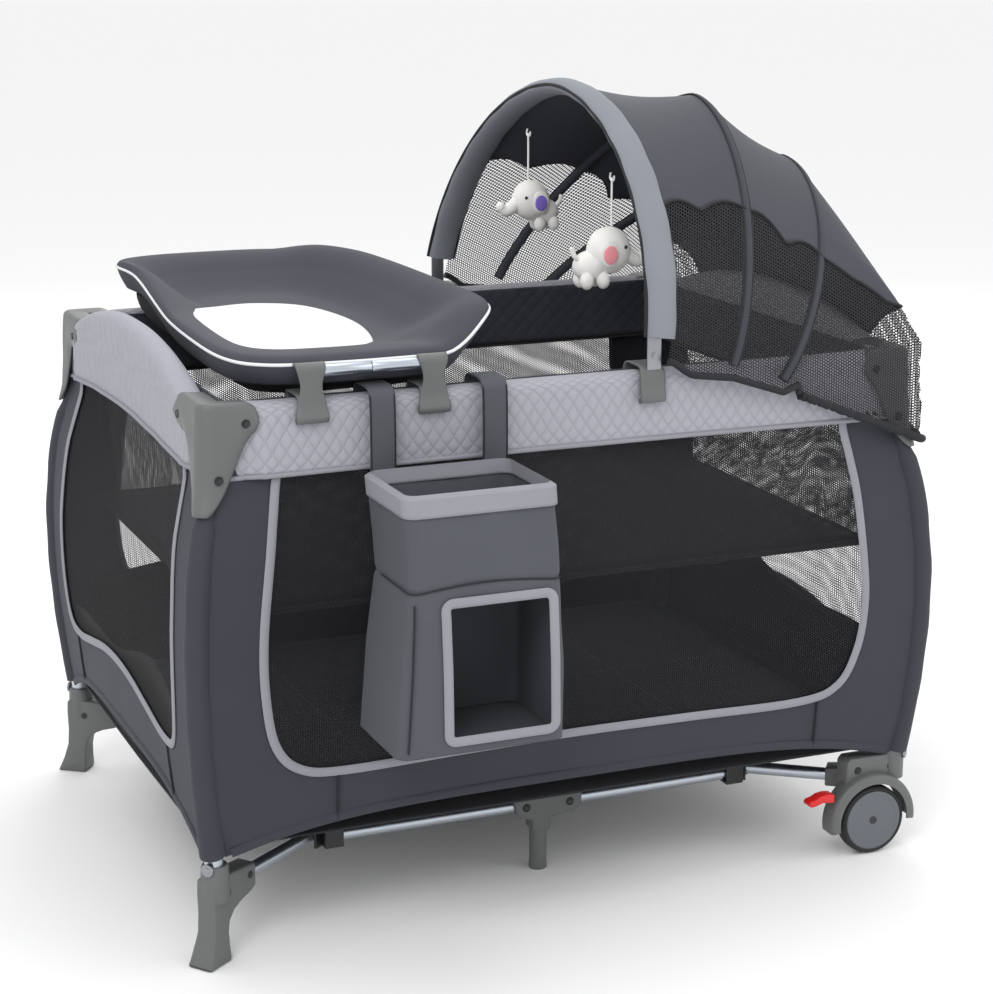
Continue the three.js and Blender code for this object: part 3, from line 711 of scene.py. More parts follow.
def make_sleeves():
    """Padded covers over the top rails."""
    profile = smooth_path([(-0.0010, 0.0, 0), (0.0006, 0.18, 0), (0.0016, 0.5, 0), (0.0012, 0.8, 0),
        (-0.0015, 0.93, 0), (-0.009, 0.995, 0), (-0.018, 1.01, 0), (-0.027, 0.99, 0),
        (-0.0335, 0.92, 0), (-0.0350, 0.75, 0), (-0.0345, 0.45, 0), (-0.034, 0.10, 0)], 4)
    for side in SIDES:
        long_side = side.name in ("front", "back")
        half = 0.492 if long_side else 0.362
        rise = 0.0 if long_side else 0.048
        base = (CAP_Y if long_side else CAP_X) + 0.0005
        nu = 260 if long_side else 190

        def surface(u, v, half=half, rise=rise, base=base, long_side=long_side, side=side):
            s = (2 * u - 1) * half
            arch = rise * (1 - min(abs(s) / 0.30, 1.0) ** 2.2)
            p = profile[round(v * (len(profile) - 1))]
            low = 0.653 + (0.003 * math.cos(s * 3.2) if long_side else 0.022 * (1 - (s / half) ** 2))
            top = 0.748 + arch
            z = low + (top - low) * p.y
            near = smoothstep((abs(s) - (half - 0.110)) / 0.06)
            folds = 0.0010 * near * math.sin(s * 420 + z * 90) * (1 if p.x > -0.01 else 0)
            puff = 0.0 if long_side else 0.0005 * math.sin(s * 700 + 3 * math.sin(z * 60))
            lump = 0.0016 * noise.noise(Vector((s * 12, z * 10, base * 7)))
            out = base + p.x + (folds + puff * (1 - near) + lump) * (1 if p.x > -0.012 else -0.4)
            out -= 0.0075 * smoothstep((abs(s) - (half - 0.062)) / 0.03)
            if side.turn == "y-":
                return Vector((s, -out, z))
            if side.turn == "y+":
                return Vector((-s, out, z))
            if side.turn == "x-":
                return Vector((-out, -s, z))
            return Vector((out, s, z))

        bm = grid(nu, len(profile) - 1, surface, (2 * half, 0.22))
        piece = own(bm, f"rail_sleeve_{side.name}", "quilt" if long_side else "wavy", side.body,
            thick=0.0018, offset=-1.0)
        gather(piece, side.name)
        edge = [surface(k / 120, 0.0) + side.outward * 0.001 for k in range(121)]
        gather(own(sweep(edge, 0.0034, sides=10), f"sleeve_piping_{side.name}", "binding",
            side.body), side.name)


class BuildEnclosure(bpy.types.Operator):
    """Builds the fabric walls, mesh windows, rail sleeves, post wraps and floor"""

    bl_idname = "play_yard.enclosure"
    bl_label = "Enclosure"

    def execute(self, context):
        for side in SIDES:
            make_side(side)
        make_floor()
        make_post_wraps()
        make_sleeves()
        return {"FINISHED"}


# ---- frame ----
def make_cap(tag, sx, sy):
    """Moulded corner cap: two wings, a round corner and a tip that reaches down the post."""
    radius = 0.018
    wing_x, wing_y = 0.442, 0.277
    straight_x = CAP_X - radius - wing_x
    straight_y = CAP_Y - radius - wing_y
    quarter = radius * math.pi / 2
    length = straight_x + quarter + straight_y

    def outer(t):
        d = t * length
        if d < straight_x:
            return Vector((wing_x + d, CAP_Y, 0)), Vector((0, 1, 0))
        if d < straight_x + quarter:
            a = (d - straight_x) / radius
            turn = Vector((math.sin(a), math.cos(a), 0))
            return Vector((CAP_X - radius, CAP_Y - radius, 0)) + turn * radius, turn
        return Vector((CAP_X, CAP_Y - radius - (d - straight_x - quarter), 0)), Vector((1, 0, 0))

    def inner(t):
        place, _ = outer(t)
        return Vector((min(place.x, CAP_X - 0.034), min(place.y, CAP_Y - 0.034), 0))

    def low(t):
        """Bottom edge: big round wing ends, then down to the tip at the corner."""
        d = t * length
        middle = straight_x + quarter / 2
        away = abs(d - middle)
        reach = middle if d < middle else length - middle
        edge = reach - away
        curve = 0.610 + 0.096 * smoothstep((away - 0.010) / 0.056)
        rounding = 0.019 * (1 - math.sqrt(max(0.0, 1 - (1 - min(edge / 0.024, 1.0)) ** 2)))
        return curve + rounding

    def high(t):
        d = t * length
        edge = min(d, length - d)
        return CAP_TOP - 0.017 * (1 - math.sqrt(max(0.0, 1 - (1 - min(edge / 0.022, 1.0)) ** 2)))

    def surface(u, v):
        place, turn = outer(u)
        bottom, top = low(u), high(u)
        fillet = 0.007
        if v < 0.55:
            k = v / 0.55
            z = bottom + (top - fillet - bottom) * k
            swell = 0.0035 * math.sin(k * math.pi) ** 0.7
            lean = (bow_at(z) - 0.006) * smoothstep((0.690 - z) / 0.05)
            return Vector((sx * (place.x + turn.x * swell + lean),
                sy * (place.y + turn.y * swell + lean), z))
        if v < 0.70:
            a = (v - 0.55) / 0.15 * math.pi / 2
            inset = fillet * (1 - math.cos(a))
            z = top - fillet + fillet * math.sin(a)
            return Vector((sx * (place.x - turn.x * inset), sy * (place.y - turn.y * inset), z))
        far = inner(u)
        near = Vector((place.x - turn.x * fillet, place.y - turn.y * fillet, 0))
        if v < 0.88:
            k = (v - 0.70) / 0.18
            flat = near.lerp(far, k)
            return Vector((sx * flat.x, sy * flat.y, top - 0.002 * k))
        k = (v - 0.88) / 0.12
        return Vector((sx * far.x, sy * far.y, top - 0.002 - 0.040 * k))

    bm = grid(72, 34, surface)
    own(bm, f"cap_shell_{tag}", "plastic", f"corner_{tag}", (f"cap_{tag}",),
        thick=0.0028, offset=-1.0)
    bm = None
    for place, turn in (((0.460, CAP_Y + 0.0036, 0.725), (0, 1, 0)),
            ((0.498, CAP_Y + 0.0072, 0.655), (0, 1, 0)),
            ((CAP_X + 0.0036, 0.300, 0.725), (1, 0, 0))):
        at = Vector((sx * place[0], sy * place[1], place[2]))
        bm = screw(at, (sx * turn[0], sy * turn[1], 0), bm, 0.0052)
    own(bm, f"cap_screws_{tag}", "black_plastic", f"corner_{tag}")


FOOT_OUTLINE = ((-0.012, 0.117), (0.040, 0.120), (0.079, 0.119), (0.080, 0.100), (0.079, 0.070),
    (0.081, 0.045), (0.088, 0.022), (0.097, 0.002), (0.095, 0.0), (0.053, 0.0), (0.050, 0.003),
    (0.050, 0.022), (0.049, 0.040), (0.046, 0.055), (0.036, 0.066), (0.020, 0.073), (0.0, 0.078),
    (-0.012, 0.084),)


def rivet(bm, place, out, radius=0.006):
    profile = [(0.0, 0.0022), (radius * 0.5, 0.002), (radius * 0.55, 0.0012), (radius, 0.001),
        (radius * 1.05, 0.0), (radius, -0.002)]
    return lathe(profile, place, out, 20, bm=bm)


def make_left_corner(tag, sy):
    """Moulded foot that holds a post and an arm's outer end."""
    sx = -1
    body = f"corner_{tag}"
    along = Vector((sx * ARM_COS, sy * ARM_SIN, 0))
    origin = Vector((sx * FOOT.x, sy * FOOT.y, 0))
    across = along.cross(Vector((0, 0, 1))).normalized()

    def widen(co):
        spread = 1.0 + 0.30 * smoothstep((0.045 - co.z) / 0.045)
        side = (co - origin).dot(across)
        return co + across * side * (spread - 1.0)

    bm = plate(FOOT_OUTLINE, origin, along, (0, 0, 1), 0.0150, 0.0035, widen=widen)
    bm = merge(bm, lathe([(0.0, 0.0), (0.0185, 0.0), (0.0195, 0.02), (0.0185, 0.046),
        (0.0165, 0.05), (0.0, 0.05)], (sx * (CORNER_X + 0.022), sy * (CORNER_Y + 0.022), 0.088),
        (0, 0, 1), 32))
    own(bm, f"foot_{tag}", "plastic", body, (f"post_and_foot_{tag}",))
    bm = None
    for a, z in ((0.001, 0.103), (0.050, 0.096)):
        for s in (-1, 1):
            bm = rivet(bm, origin + along * a + Vector((0, 0, z)) + across * (s * 0.0150),
                across * s, 0.005)
    own(bm, f"foot_rivets_{tag}", "black_plastic", body)
    bm = rivet(None, Vector((sx * (CORNER_X + 0.022 + 0.014), sy * (CORNER_Y + 0.022 + 0.014),
        0.136)), (sx * 0.7, sy * 0.7, 0), 0.0085)
    own(bm, f"hem_stud_{tag}", "steel", body)


def make_right_corner(tag, sy):
    """Caster housing with its fender, bracket, wheel and brake lever."""
    body = f"corner_{tag}"
    axle = Vector((WHEEL_X, 0, WHEEL_R))
    near, far = WHEEL_Y + 0.0135, WHEEL_Y - 0.020
    section = [(0.0565, near), (0.0655, near), (0.0690, near - 0.002), (0.0705, near - 0.006),
        (0.0700, far + 0.003), (0.068, far), (0.058, far), (0.058, far + 0.002),
        (0.0665, far + 0.004), (0.0670, near - 0.006), (0.0650, near - 0.003),
        (0.0565, near - 0.003), (0.0565, near)]
    bm = bmesh.new()
    sweep_angle = math.radians(196)
    verts = []
    first = math.radians(-5)
    centre = Vector((axle.x, 0, axle.z))
    for r, y in section[:-1]:
        verts.append(bm.verts.new(centre + Vector((math.cos(first) * r, sy * y,
            math.sin(first) * r))))
    edges = [bm.edges.new((verts[k], verts[(k + 1) % len(verts)])) for k in range(len(verts))]
    bmesh.ops.spin(bm, geom=verts + edges, cent=centre, axis=(0, -1, 0), angle=sweep_angle,
        steps=48)
    bmesh.ops.holes_fill(bm, edges=[e for e in bm.edges if len(e.link_faces) == 1],
        sides=len(verts) + 1)
    outline = [(-0.040, 0.104), (-0.040, 0.140), (-0.034, 0.147), (0.046, 0.147), (0.052, 0.141),
        (0.052, 0.106)]
    bm = plate(outline, (WHEEL_X, sy * (WHEEL_Y - 0.017), 0), (1, 0, 0), (0, 0, 1), 0.0155, 0.003,
        bm)
    inner = [(-0.018, 0.040), (-0.018, 0.125), (0.018, 0.125), (0.018, 0.040)]
    bm = plate(inner, (WHEEL_X, sy * (WHEEL_Y - 0.0265), 0), (1, 0, 0), (0, 0, 1), 0.006, 0.002, bm)
    along = Vector((ARM_COS, sy * ARM_SIN, 0))
    fork = [(-0.034, 0.086), (-0.034, 0.114), (0.012, 0.118), (0.020, 0.110), (0.020, 0.090),
        (0.010, 0.086)]
    bm = plate(fork, (FOOT.x, sy * FOOT.y, 0), along, (0, 0, 1), 0.0150, 0.0025, bm)
    bm = merge(bm, lathe([(0.0, 0.0), (0.0175, 0.0), (0.0175, 0.044), (0.0, 0.044)],
                         (CORNER_X + 0.022, sy * (CORNER_Y + 0.022), 0.108), (0, 0, 1), 32))
    own(bm, f"caster_housing_{tag}", "plastic", body, (f"post_and_caster_{tag}",))
    out = Vector((0, sy, 0))
    bm = None
    for x in (WHEEL_X - 0.022, WHEEL_X + 0.034):
        bm = screw(Vector((x, sy * (WHEEL_Y - 0.0015), 0.128)), out, bm, 0.0052)
    own(bm, f"caster_screws_{tag}", "black_plastic", body)
    bm = rivet(None, Vector((CORNER_X + 0.036, sy * (CORNER_Y + 0.036), 0.146)), (0.7, sy * 0.7, 0),
        0.0075)
    own(bm, f"hem_stud_{tag}", "steel", body)

    hub = Vector((WHEEL_X, sy * WHEEL_Y, WHEEL_R))
    wheel = f"wheel_{tag}"
    tyre = [(0.044, -0.009), (0.0475, -0.0115), (0.0505, -0.010), (0.0519, -0.005), (0.0519, 0.005),
        (0.0505, 0.010), (0.0475, 0.0125), (0.0445, 0.011), (0.044, 0.009), (0.044, -0.009)]
    own(lathe(tyre, hub, out, 56), f"tyre_{tag}", "tyre", wheel, (wheel,))
    disc = [(0.0, 0.0105), (0.006, 0.0105), (0.020, 0.0108), (0.036, 0.0104), (0.0395, 0.0112),
        (0.0425, 0.0122), (0.0445, 0.0115), (0.0445, -0.010), (0.030, -0.0085), (0.010, -0.0095),
        (0.0, -0.0095)]
    own(lathe(disc, hub, out, 56), f"wheel_disc_{tag}", "disc", wheel)
    dimple = [(0.0, 0.0112), (0.0035, 0.0114), (0.0048, 0.0118), (0.0058, 0.0112), (0.006, 0.009)]
    own(lathe(dimple, hub, out, 24), f"axle_cap_{tag}", "black_plastic", wheel)
    lever = [(0.409, 0.088), (0.409, 0.101), (0.398, 0.103), (0.386, 0.1015), (0.377, 0.097),
        (0.369, 0.0955), (0.366, 0.090), (0.371, 0.086), (0.379, 0.087), (0.390, 0.0905)]
    bm = plate(lever, (0, sy * WHEEL_Y, 0), (1, 0, 0), (0, 0, 1), 0.0095, 0.002)
    own(bm, f"brake_pedal_{tag}", "red", f"brake_lever_{tag}",
        (f"brake_lever_{tag}",))


def round_tube(name, a, b, body, node, radius=0.0095):
    a, b = Vector(a), Vector(b)
    length = (b - a).length
    profile = [(radius - 0.0013, 0.0), (radius, 0.0), (radius, length), (radius - 0.0013, length),
        (radius - 0.0013, 0.0)]
    own(lathe(profile, a, b - a, 32), name, "silver", body, (node,))


class BuildFrame(bpy.types.Operator):
    """Builds the corner caps, feet, casters, floor frame tubes and rail hardware"""

    bl_idname = "play_yard.frame"
    bl_label = "Frame"

    def execute(self, context):
        for tag, sx, sy in CORNERS:
            make_cap(tag, sx, sy)
            if sx < 0:
                make_left_corner(tag, sy)
            else:
                make_right_corner(tag, sy)
            flip = Vector((sx, sy, 1))
            round_tube(f"arm_tube_{tag}", HUB * flip, FOOT * flip, f"arm_{tag}", f"arm_{tag}")
            round_tube(f"strut_tube_{tag}", Vector((STRUT_X_OUT, STRUT_Y, FRAME_Z)) * flip,
                Vector((STRUT_X_IN, STRUT_Y, FRAME_Z)) * flip, f"strut_{tag}", f"strut_{tag}")
        outline = [(-0.040, 0.090), (-0.043, 0.112), (-0.038, 0.117), (0.058, 0.117),
            (0.064, 0.110), (0.063, 0.092), (0.050, 0.083), (0.016, 0.079), (0.013, 0.060),
            (-0.013, 0.060), (-0.015, 0.079), (-0.032, 0.084)]
        for tag, sy in (("front", -1), ("back", 1)):
            y = sy * STRUT_Y
            bm = plate(outline, (0, y, 0), (1, 0, 0), (0, 0, 1), 0.0148, 0.0035)
            leg = [(0.0, 0.0), (0.0125, 0.0), (0.0135, 0.002), (0.0130, 0.010), (0.0125, 0.014),
                (0.0128, 0.078), (0.0, 0.078)]
            bm = merge(bm, lathe(leg, (0, y, 0), (0, 0, 1), 32))
            own(bm, f"mid_bracket_{tag}", "plastic", f"mid_leg_{tag}",
                (f"mid_leg_{tag}",))
            bm = None
            for x in (-0.0242, 0.044):
                bm = screw(Vector((x, y + sy * 0.0148, 0.100)), (0, sy, 0), bm, 0.0055)
            stem = [(0.0, 0.0), (0.010, 0.0), (0.010, 0.012), (0.017, 0.016), (0.018, 0.022),
                (0.0, 0.024)]
            bm = merge(bm, lathe(stem, (0.006, y, 0.114), (0, 0, 1), 28))
            own(bm, f"mid_bracket_knob_{tag}", "black_plastic", f"mid_leg_{tag}")
        finishes = {"strut_bracket": "black_plastic", "center_hub": "black_plastic",
            "rail_latch": "black_plastic", "latch_button": "red", "rail_": "silver",
            "canopy_clip": "plastic"}
        for name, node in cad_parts.items():
            for start, finish in finishes.items():
                if name.startswith(start):
                    for k in range(max(1, len(node.material_slots))):
                        if node.material_slots:
                            node.material_slots[k].material = MATERIALS[finish]
                    bevel = node.modifiers.new("edges", "BEVEL")
                    bevel.width, bevel.segments, bevel.limit_method = 0.0008, 2, "ANGLE"
                    bevel.angle_limit = math.radians(40)
                    break
        return {"FINISHED"}


# ---- bassinet and mattress ----
class BuildBassinet(bpy.types.Operator):
    """Builds the hung bassinet and the folding mattress"""

    bl_idname = "play_yard.bassinet"
    bl_label = "Bassinet and mattress"

    def execute(self, context):
        outline = round_rect(BASSINET_X, BASSINET_Y, 0.022, 6)
        n = len(outline)
        girth = 4 * (BASSINET_X + BASSINET_Y) - 0.04
        lengths = [0.0]
        for k in range(n):
            a, b = Vector(outline[k]), Vector(outline[(k + 1) % n])
            lengths.append(lengths[-1] + (b - a).length)

        def wall(z0, z1, out, ripple):
            dense = 400

            def surface(u, v):
                want = u * lengths[-1]
                k = max(i for i in range(n + 1) if lengths[i] <= want + 1e-9)
                k = min(k, n - 1)
                a, b = Vector(outline[k]), Vector(outline[(k + 1) % n])
                gap = lengths[k + 1] - lengths[k]
                t = (want - lengths[k]) / gap if gap > 0 else 0
                p = a.lerp(b, min(max(t, 0), 1))
                z = z0 + (z1 - z0) * v
                move = out + ripple * noise.noise(Vector((p.x * 14, p.y * 14, z * 8)))
                return Vector((p.x * (1 + move / BASSINET_X), p.y * (1 + move / BASSINET_Y), z))

            return grid(dense, 12, surface, (girth, z1 - z0))

        own(wall(0.655, BASSINET_RIM, -0.003, 0.004), "bassinet_band", "quilt_dark", "bassinet",
            ("bassinet",), thick=0.004)
        own(wall(0.462, 0.656, -0.001, 0.006), "bassinet_mesh", "net_tight", "bassinet")
        for name, z, width in (("rim", BASSINET_RIM - 0.003, 0.012), ("middle", 0.652, 0.024),
                ("low", 0.463, 0.022)):
            ring = [wall_point for wall_point in (Vector((x * 0.9995, y * 0.9995, z)) for x,
                y in outline)]
            tape = sweep(ring, width / 2, True, 10, 0.004 / width, (0, 0, 1))
            bmesh.ops.remove_doubles(tape, verts=tape.verts, dist=1e-6)
            own(tape, f"bassinet_tape_{name}", "black", "bassinet")

        def board(u, v):
            x, y = (2 * u - 1), (2 * v - 1)
            crease = 0.0035 * sum(math.exp(-((x - c) / 0.018) ** 2) for c in (-0.5, 0.0, 0.5))
            return Vector((x * (BASSINET_X - 0.006), y * (BASSINET_Y - 0.006),
                BASSINET_FLOOR + 0.010 - crease))

        own(grid(80, 20, board), "bassinet_floor", "slate_dark", "bassinet",
            thick=0.010)

        def bed(u, v):
            if v < 0.5:
                r, z = v / 0.5, 0.187
            else:
                r, z = 1.0, 0.187 - 0.020 * (v - 0.5) / 0.5
            x, y = plan[round(u * m) % m]
            crown = 0.0018 * (abs(math.sin(x * r * math.pi / 0.246)) ** 0.4) * (1 if v < 0.5 else 0)
            edge = smoothstep((r - 0.93) / 0.07) if v < 0.5 else 1.0
            return Vector((x * r, y * r, z + crown - 0.003 * edge))

        plan = round_rect(0.465, 0.339, 0.03, 6)
        dense = []
        for (x0, y0), (x1, y1) in zip(plan, plan[1:] + plan[:1]):
            steps = max(1, int(math.hypot(x1 - x0, y1 - y0) / 0.02))
            dense += [(x0 + (x1 - x0) * k / steps,
                y0 + (y1 - y0) * k / steps) for k in range(steps)]
        plan = dense
        m = len(plan)
        bm = grid(m, 60, bed)
        bmesh.ops.remove_doubles(bm, verts=bm.verts, dist=1e-5)
        bmesh.ops.holes_fill(bm, edges=[e for e in bm.edges if len(e.link_faces) == 1], sides=m + 1)
        piece = own(bm, "mattress_pad", "mattress", "mattress", ("mattress",))
        return {"FINISHED"}


# ---- changing tray ----
def rim_height(x, y):
    """The tray's rim is low in front and on the left, and rises to the right and at the back."""
    low = 0.803 + 0.030 * smoothstep((y + 0.02) / 0.33)
    return low + (0.850 - low) * smoothstep((x + 0.190) / 0.095)


def tray_outline():
    points = smooth_path([(-0.462, -0.300, 0), (-0.425, -0.368, 0), (-0.340, -0.386, 0),
        (-0.220, -0.386, 0), (-0.140, -0.372, 0), (-0.097, -0.310, 0), (-0.092, -0.150, 0),
        (-0.094, 0.060, 0), (-0.106, 0.200, 0), (-0.140, 0.320, 0), (-0.200, 0.368, 0),
        (-0.320, 0.376, 0), (-0.400, 0.366, 0), (-0.444, 0.330, 0), (-0.438, 0.240, 0),
        (-0.446, 0.090, 0), (-0.462, -0.120, 0)], 8, True)
    return [(p.x, p.y) for p in points]


TRAY_CENTRE = Vector((-0.285, 0.005, 0))
TRAY_BED = 0.786


class BuildChanger(bpy.types.Operator):
    """Builds the changing tray, its pad, its under-bag, and the tube and clips that hold it"""

    bl_idname = "play_yard.changer"
    bl_label = "Changing tray"

    def execute(self, context):
        outline = tray_outline()
        n = len(outline)

        def tray(u, v):
            x, y = outline[round(u * n) % n]
            out = Vector((x, y, 0)) - TRAY_CENTRE
            top = rim_height(x, y)
            if v < 0.66:
                k = v / 0.66
                rise = smoothstep((k - 0.52) / 0.48)
                z = TRAY_BED + (top - TRAY_BED) * rise ** 1.2
                puff = 0.0022 * math.sin(k * math.pi) * (1 - math.exp(-((k - 0.80) / 0.03) ** 2))
                place = TRAY_CENTRE + out * (k * 0.955)
                return Vector((place.x, place.y, z + puff))
            if v < 0.80:
                a = (v - 0.66) / 0.14 * math.pi / 2
                place = TRAY_CENTRE + out * (0.955 + 0.045 * math.sin(a))
                return Vector((place.x, place.y, top - 0.010 * (1 - math.cos(a))))
            k = (v - 0.80) / 0.20
            place = TRAY_CENTRE + out * (1.0 - 0.06 * k ** 1.5)
            return Vector((place.x, place.y, top - 0.010 - 0.030 * k))

        own(grid(n, 60, tray), "tray_shell", "tray", "changer", ("changer_pad",),
            thick=0.0035)
        edge = [tray(k / n, 0.80) for k in range(n)]
        own(sweep(edge, 0.0022, True, 10), "tray_piping", "piping", "changer")
        plan = smooth_path([(-0.414, 0.058, 0), (-0.360, 0.082, 0), (-0.300, 0.088, 0),
            (-0.240, 0.040, 0), (-0.216, -0.080, 0), (-0.226, -0.200, 0), (-0.262, -0.300, 0),
            (-0.330, -0.306, 0), (-0.398, -0.284, 0), (-0.444, -0.205, 0), (-0.438, -0.060, 0)], 8,
            True)
        m = len(plan)
        middle = Vector((-0.330, -0.11, 0))

        def pad(u, v):
            out = plan[round(u * m) % m] - middle
            a = v * math.pi / 2
            place = middle + out * (math.sin(a) ** 0.6 if v < 1 else 1.0)
            return Vector((place.x, place.y,
                TRAY_BED + 0.0045 + 0.0075 * math.cos(a) ** 0.5 if v < 1 else TRAY_BED + 0.0035))

        bm = grid(m, 18, pad)
        bmesh.ops.remove_doubles(bm, verts=bm.verts, dist=1e-5)
        bmesh.ops.holes_fill(bm, edges=[e for e in bm.edges if len(e.link_faces) == 1], sides=m + 1)
        piece = own(bm, "changing_pad", "pad", "changer")

        def bag(u, v):
            x, y = outline[round(u * n) % n]
            out = Vector((x, y, 0)) - TRAY_CENTRE
            k = math.sin(v * math.pi / 2)
            place = TRAY_CENTRE + out * (0.30 + 0.58 * k)
            sag = 0.012 * noise.noise(Vector((x * 7, y * 7, v * 3)))
            return Vector((place.x, place.y,
                0.716 + 0.070 * (1 - math.cos(v * math.pi / 2)) + sag * (1 - k)))

        bm = grid(n, 14, bag)
        bmesh.ops.remove_doubles(bm, verts=bm.verts, dist=1e-5)
        rim = [e for e in bm.edges if len(e.link_faces) == 1]
        bmesh.ops.holes_fill(bm, edges=rim, sides=n + 1)
        own(bm, "tray_under_bag", "slate_dark", "changer")

        def strap(path_y):
            return [Vector((x, path_y,
                0.788 - 0.010 * math.cos((x + 0.29) * 8))) for x in (-0.40 + 0.02 * k for k in range(12))]

        own(ribbon(strap(-0.345), 0.018, (0, -1, 0)), "tray_under_strap", "black", "changer")
        names = []
        for tag, sy in (("front", -1), ("back", 1)):
            y = sy * 0.3885
            bm = bmesh.new()
            for a, b in ((-0.386, -0.2915), (-0.2905, -0.196)):
                part = lathe([(0.0, 0.0), (0.0072, 0.0), (0.008, 0.0012), (0.008, b - a - 0.0012),
                    (0.0072, b - a), (0.0, b - a)], (a, y, 0.785), (1, 0, 0), 32)
                bm = merge(bm, part)
            names.append(own(bm, f"tray_tube_{tag}", "silver", "changer",
                ("changer_frame",) if sy < 0 else ()))
            own(lathe([(0.0, 0.0), (0.0068, 0.0), (0.0068, 0.003), (0.0, 0.003)],
                (-0.2925, y, 0.785), (1, 0, 0), 24), f"tray_tube_joint_{tag}", "black_plastic",
                "changer")
            for label, x in (("left", -0.374), ("right", -0.208)):
                def clip(u, v, x=x, sy=sy):
                    line = clip_line[round(v * (len(clip_line) - 1))]
                    waist = 0.0205 - 0.0060 * math.exp(-((line.y - 0.766) / 0.018) ** 2) + 0.001 * (1 if line.y < 0.735 else 0)
                    cross = (2 * u - 1)
                    crown = 0.0012 * (1 - cross * cross)
                    return Vector((x + cross * waist, sy * (line.x + crown), line.y))

                clip_line = smooth_path([(0.3790, 0.793, 0), (0.3885, 0.7965, 0),
                    (0.3975, 0.790, 0), (0.3978, 0.775, 0), (0.3972, 0.757, 0), (0.3980, 0.742, 0),
                    (0.4010, 0.733, 0), (0.4030, 0.726, 0), (0.4000, 0.7195, 0), (0.3950, 0.722, 0),
                    (0.3940, 0.728, 0)], 6)
                own(grid(14, len(clip_line) - 1, clip), f"tray_clip_{tag}_{label}", "plastic",
                    "changer", thick=0.0036)

                def hook(u, v, x=x, sy=sy):
                    line = hook_line[round(v * (len(hook_line) - 1))]
                    return Vector((x + (2 * u - 1) * 0.0185, sy * line.x, line.y))

                hook_line = smooth_path([(0.3965, 0.742, 0), (0.3950, 0.752, 0), (0.388, 0.7565, 0),
                    (0.368, 0.7570, 0), (0.350, 0.7560, 0), (0.3445, 0.750, 0), (0.3440, 0.738, 0)],
                    5)
                own(grid(8, len(hook_line) - 1, hook), f"tray_hook_{tag}_{label}", "plastic",
                    "changer", thick=0.003)
        return {"FINISHED"}


# ---- caddy ----
CADDY_LEVELS = ((0.322, -0.332, -0.104, -0.588, -0.430), (0.360, -0.329, -0.103, -0.588, -0.428),
                (0.430, -0.322, -0.102, -0.586, -0.428), (0.500, -0.313, -0.102, -0.580, -0.428),
                (0.534, -0.308, -0.103, -0.574, -0.428), (0.580, -0.308, -0.104, -0.570, -0.420),
                (0.652, -0.310, -0.106, -0.562, -0.407))


def caddy_point(share, z, inset=0.0):
    """A point of the caddy's wall: share goes round from the middle of its front."""
    for low, high in zip(CADDY_LEVELS, CADDY_LEVELS[1:]):
        if z <= high[0]:
            break
    t = min(max((z - low[0]) / (high[0] - low[0]), 0.0), 1.0)
    x0, x1, y0, y1 = (a + (b - a) * t for a, b in zip(low[1:], high[1:]))
    half_x, half_y = (x1 - x0) / 2 - inset, (y1 - y0) / 2 - inset
    radius = 0.016 - inset * 0.5
    straight = (2 * (half_x - radius), 2 * (half_y - radius))
    arc = math.pi / 2 * radius
    around = 2 * (straight[0] + straight[1]) + 4 * arc
    d = (share * around + straight[0] / 2) % around
    cx, cy = (x0 + x1) / 2, (y0 + y1) / 2
    corners = ((1, -1, -math.pi / 2), (1, 1, 0.0), (-1, 1, math.pi / 2), (-1, -1, math.pi))
    for k, (ex, ey, first) in enumerate(corners):
        run = straight[k % 2]
        if d <= run:
            ax, ay = corners[k - 1][0] * (half_x - radius), corners[k - 1][1] * (half_y - radius)
            bx, by = ex * (half_x - radius), ey * (half_y - radius)
            t = d / run
            out = Vector((math.cos(first), math.sin(first), 0))
            return Vector((cx + ax + (bx - ax) * t, cy + ay + (by - ay) * t, z)) + out * radius
        d -= run
        if d <= arc:
            a = first + d / radius
            return Vector((cx + ex * (half_x - radius) + radius * math.cos(a),
                cy + ey * (half_y - radius) + radius * math.sin(a), z))
        d -= arc
    return Vector((cx, cy - half_y, z))


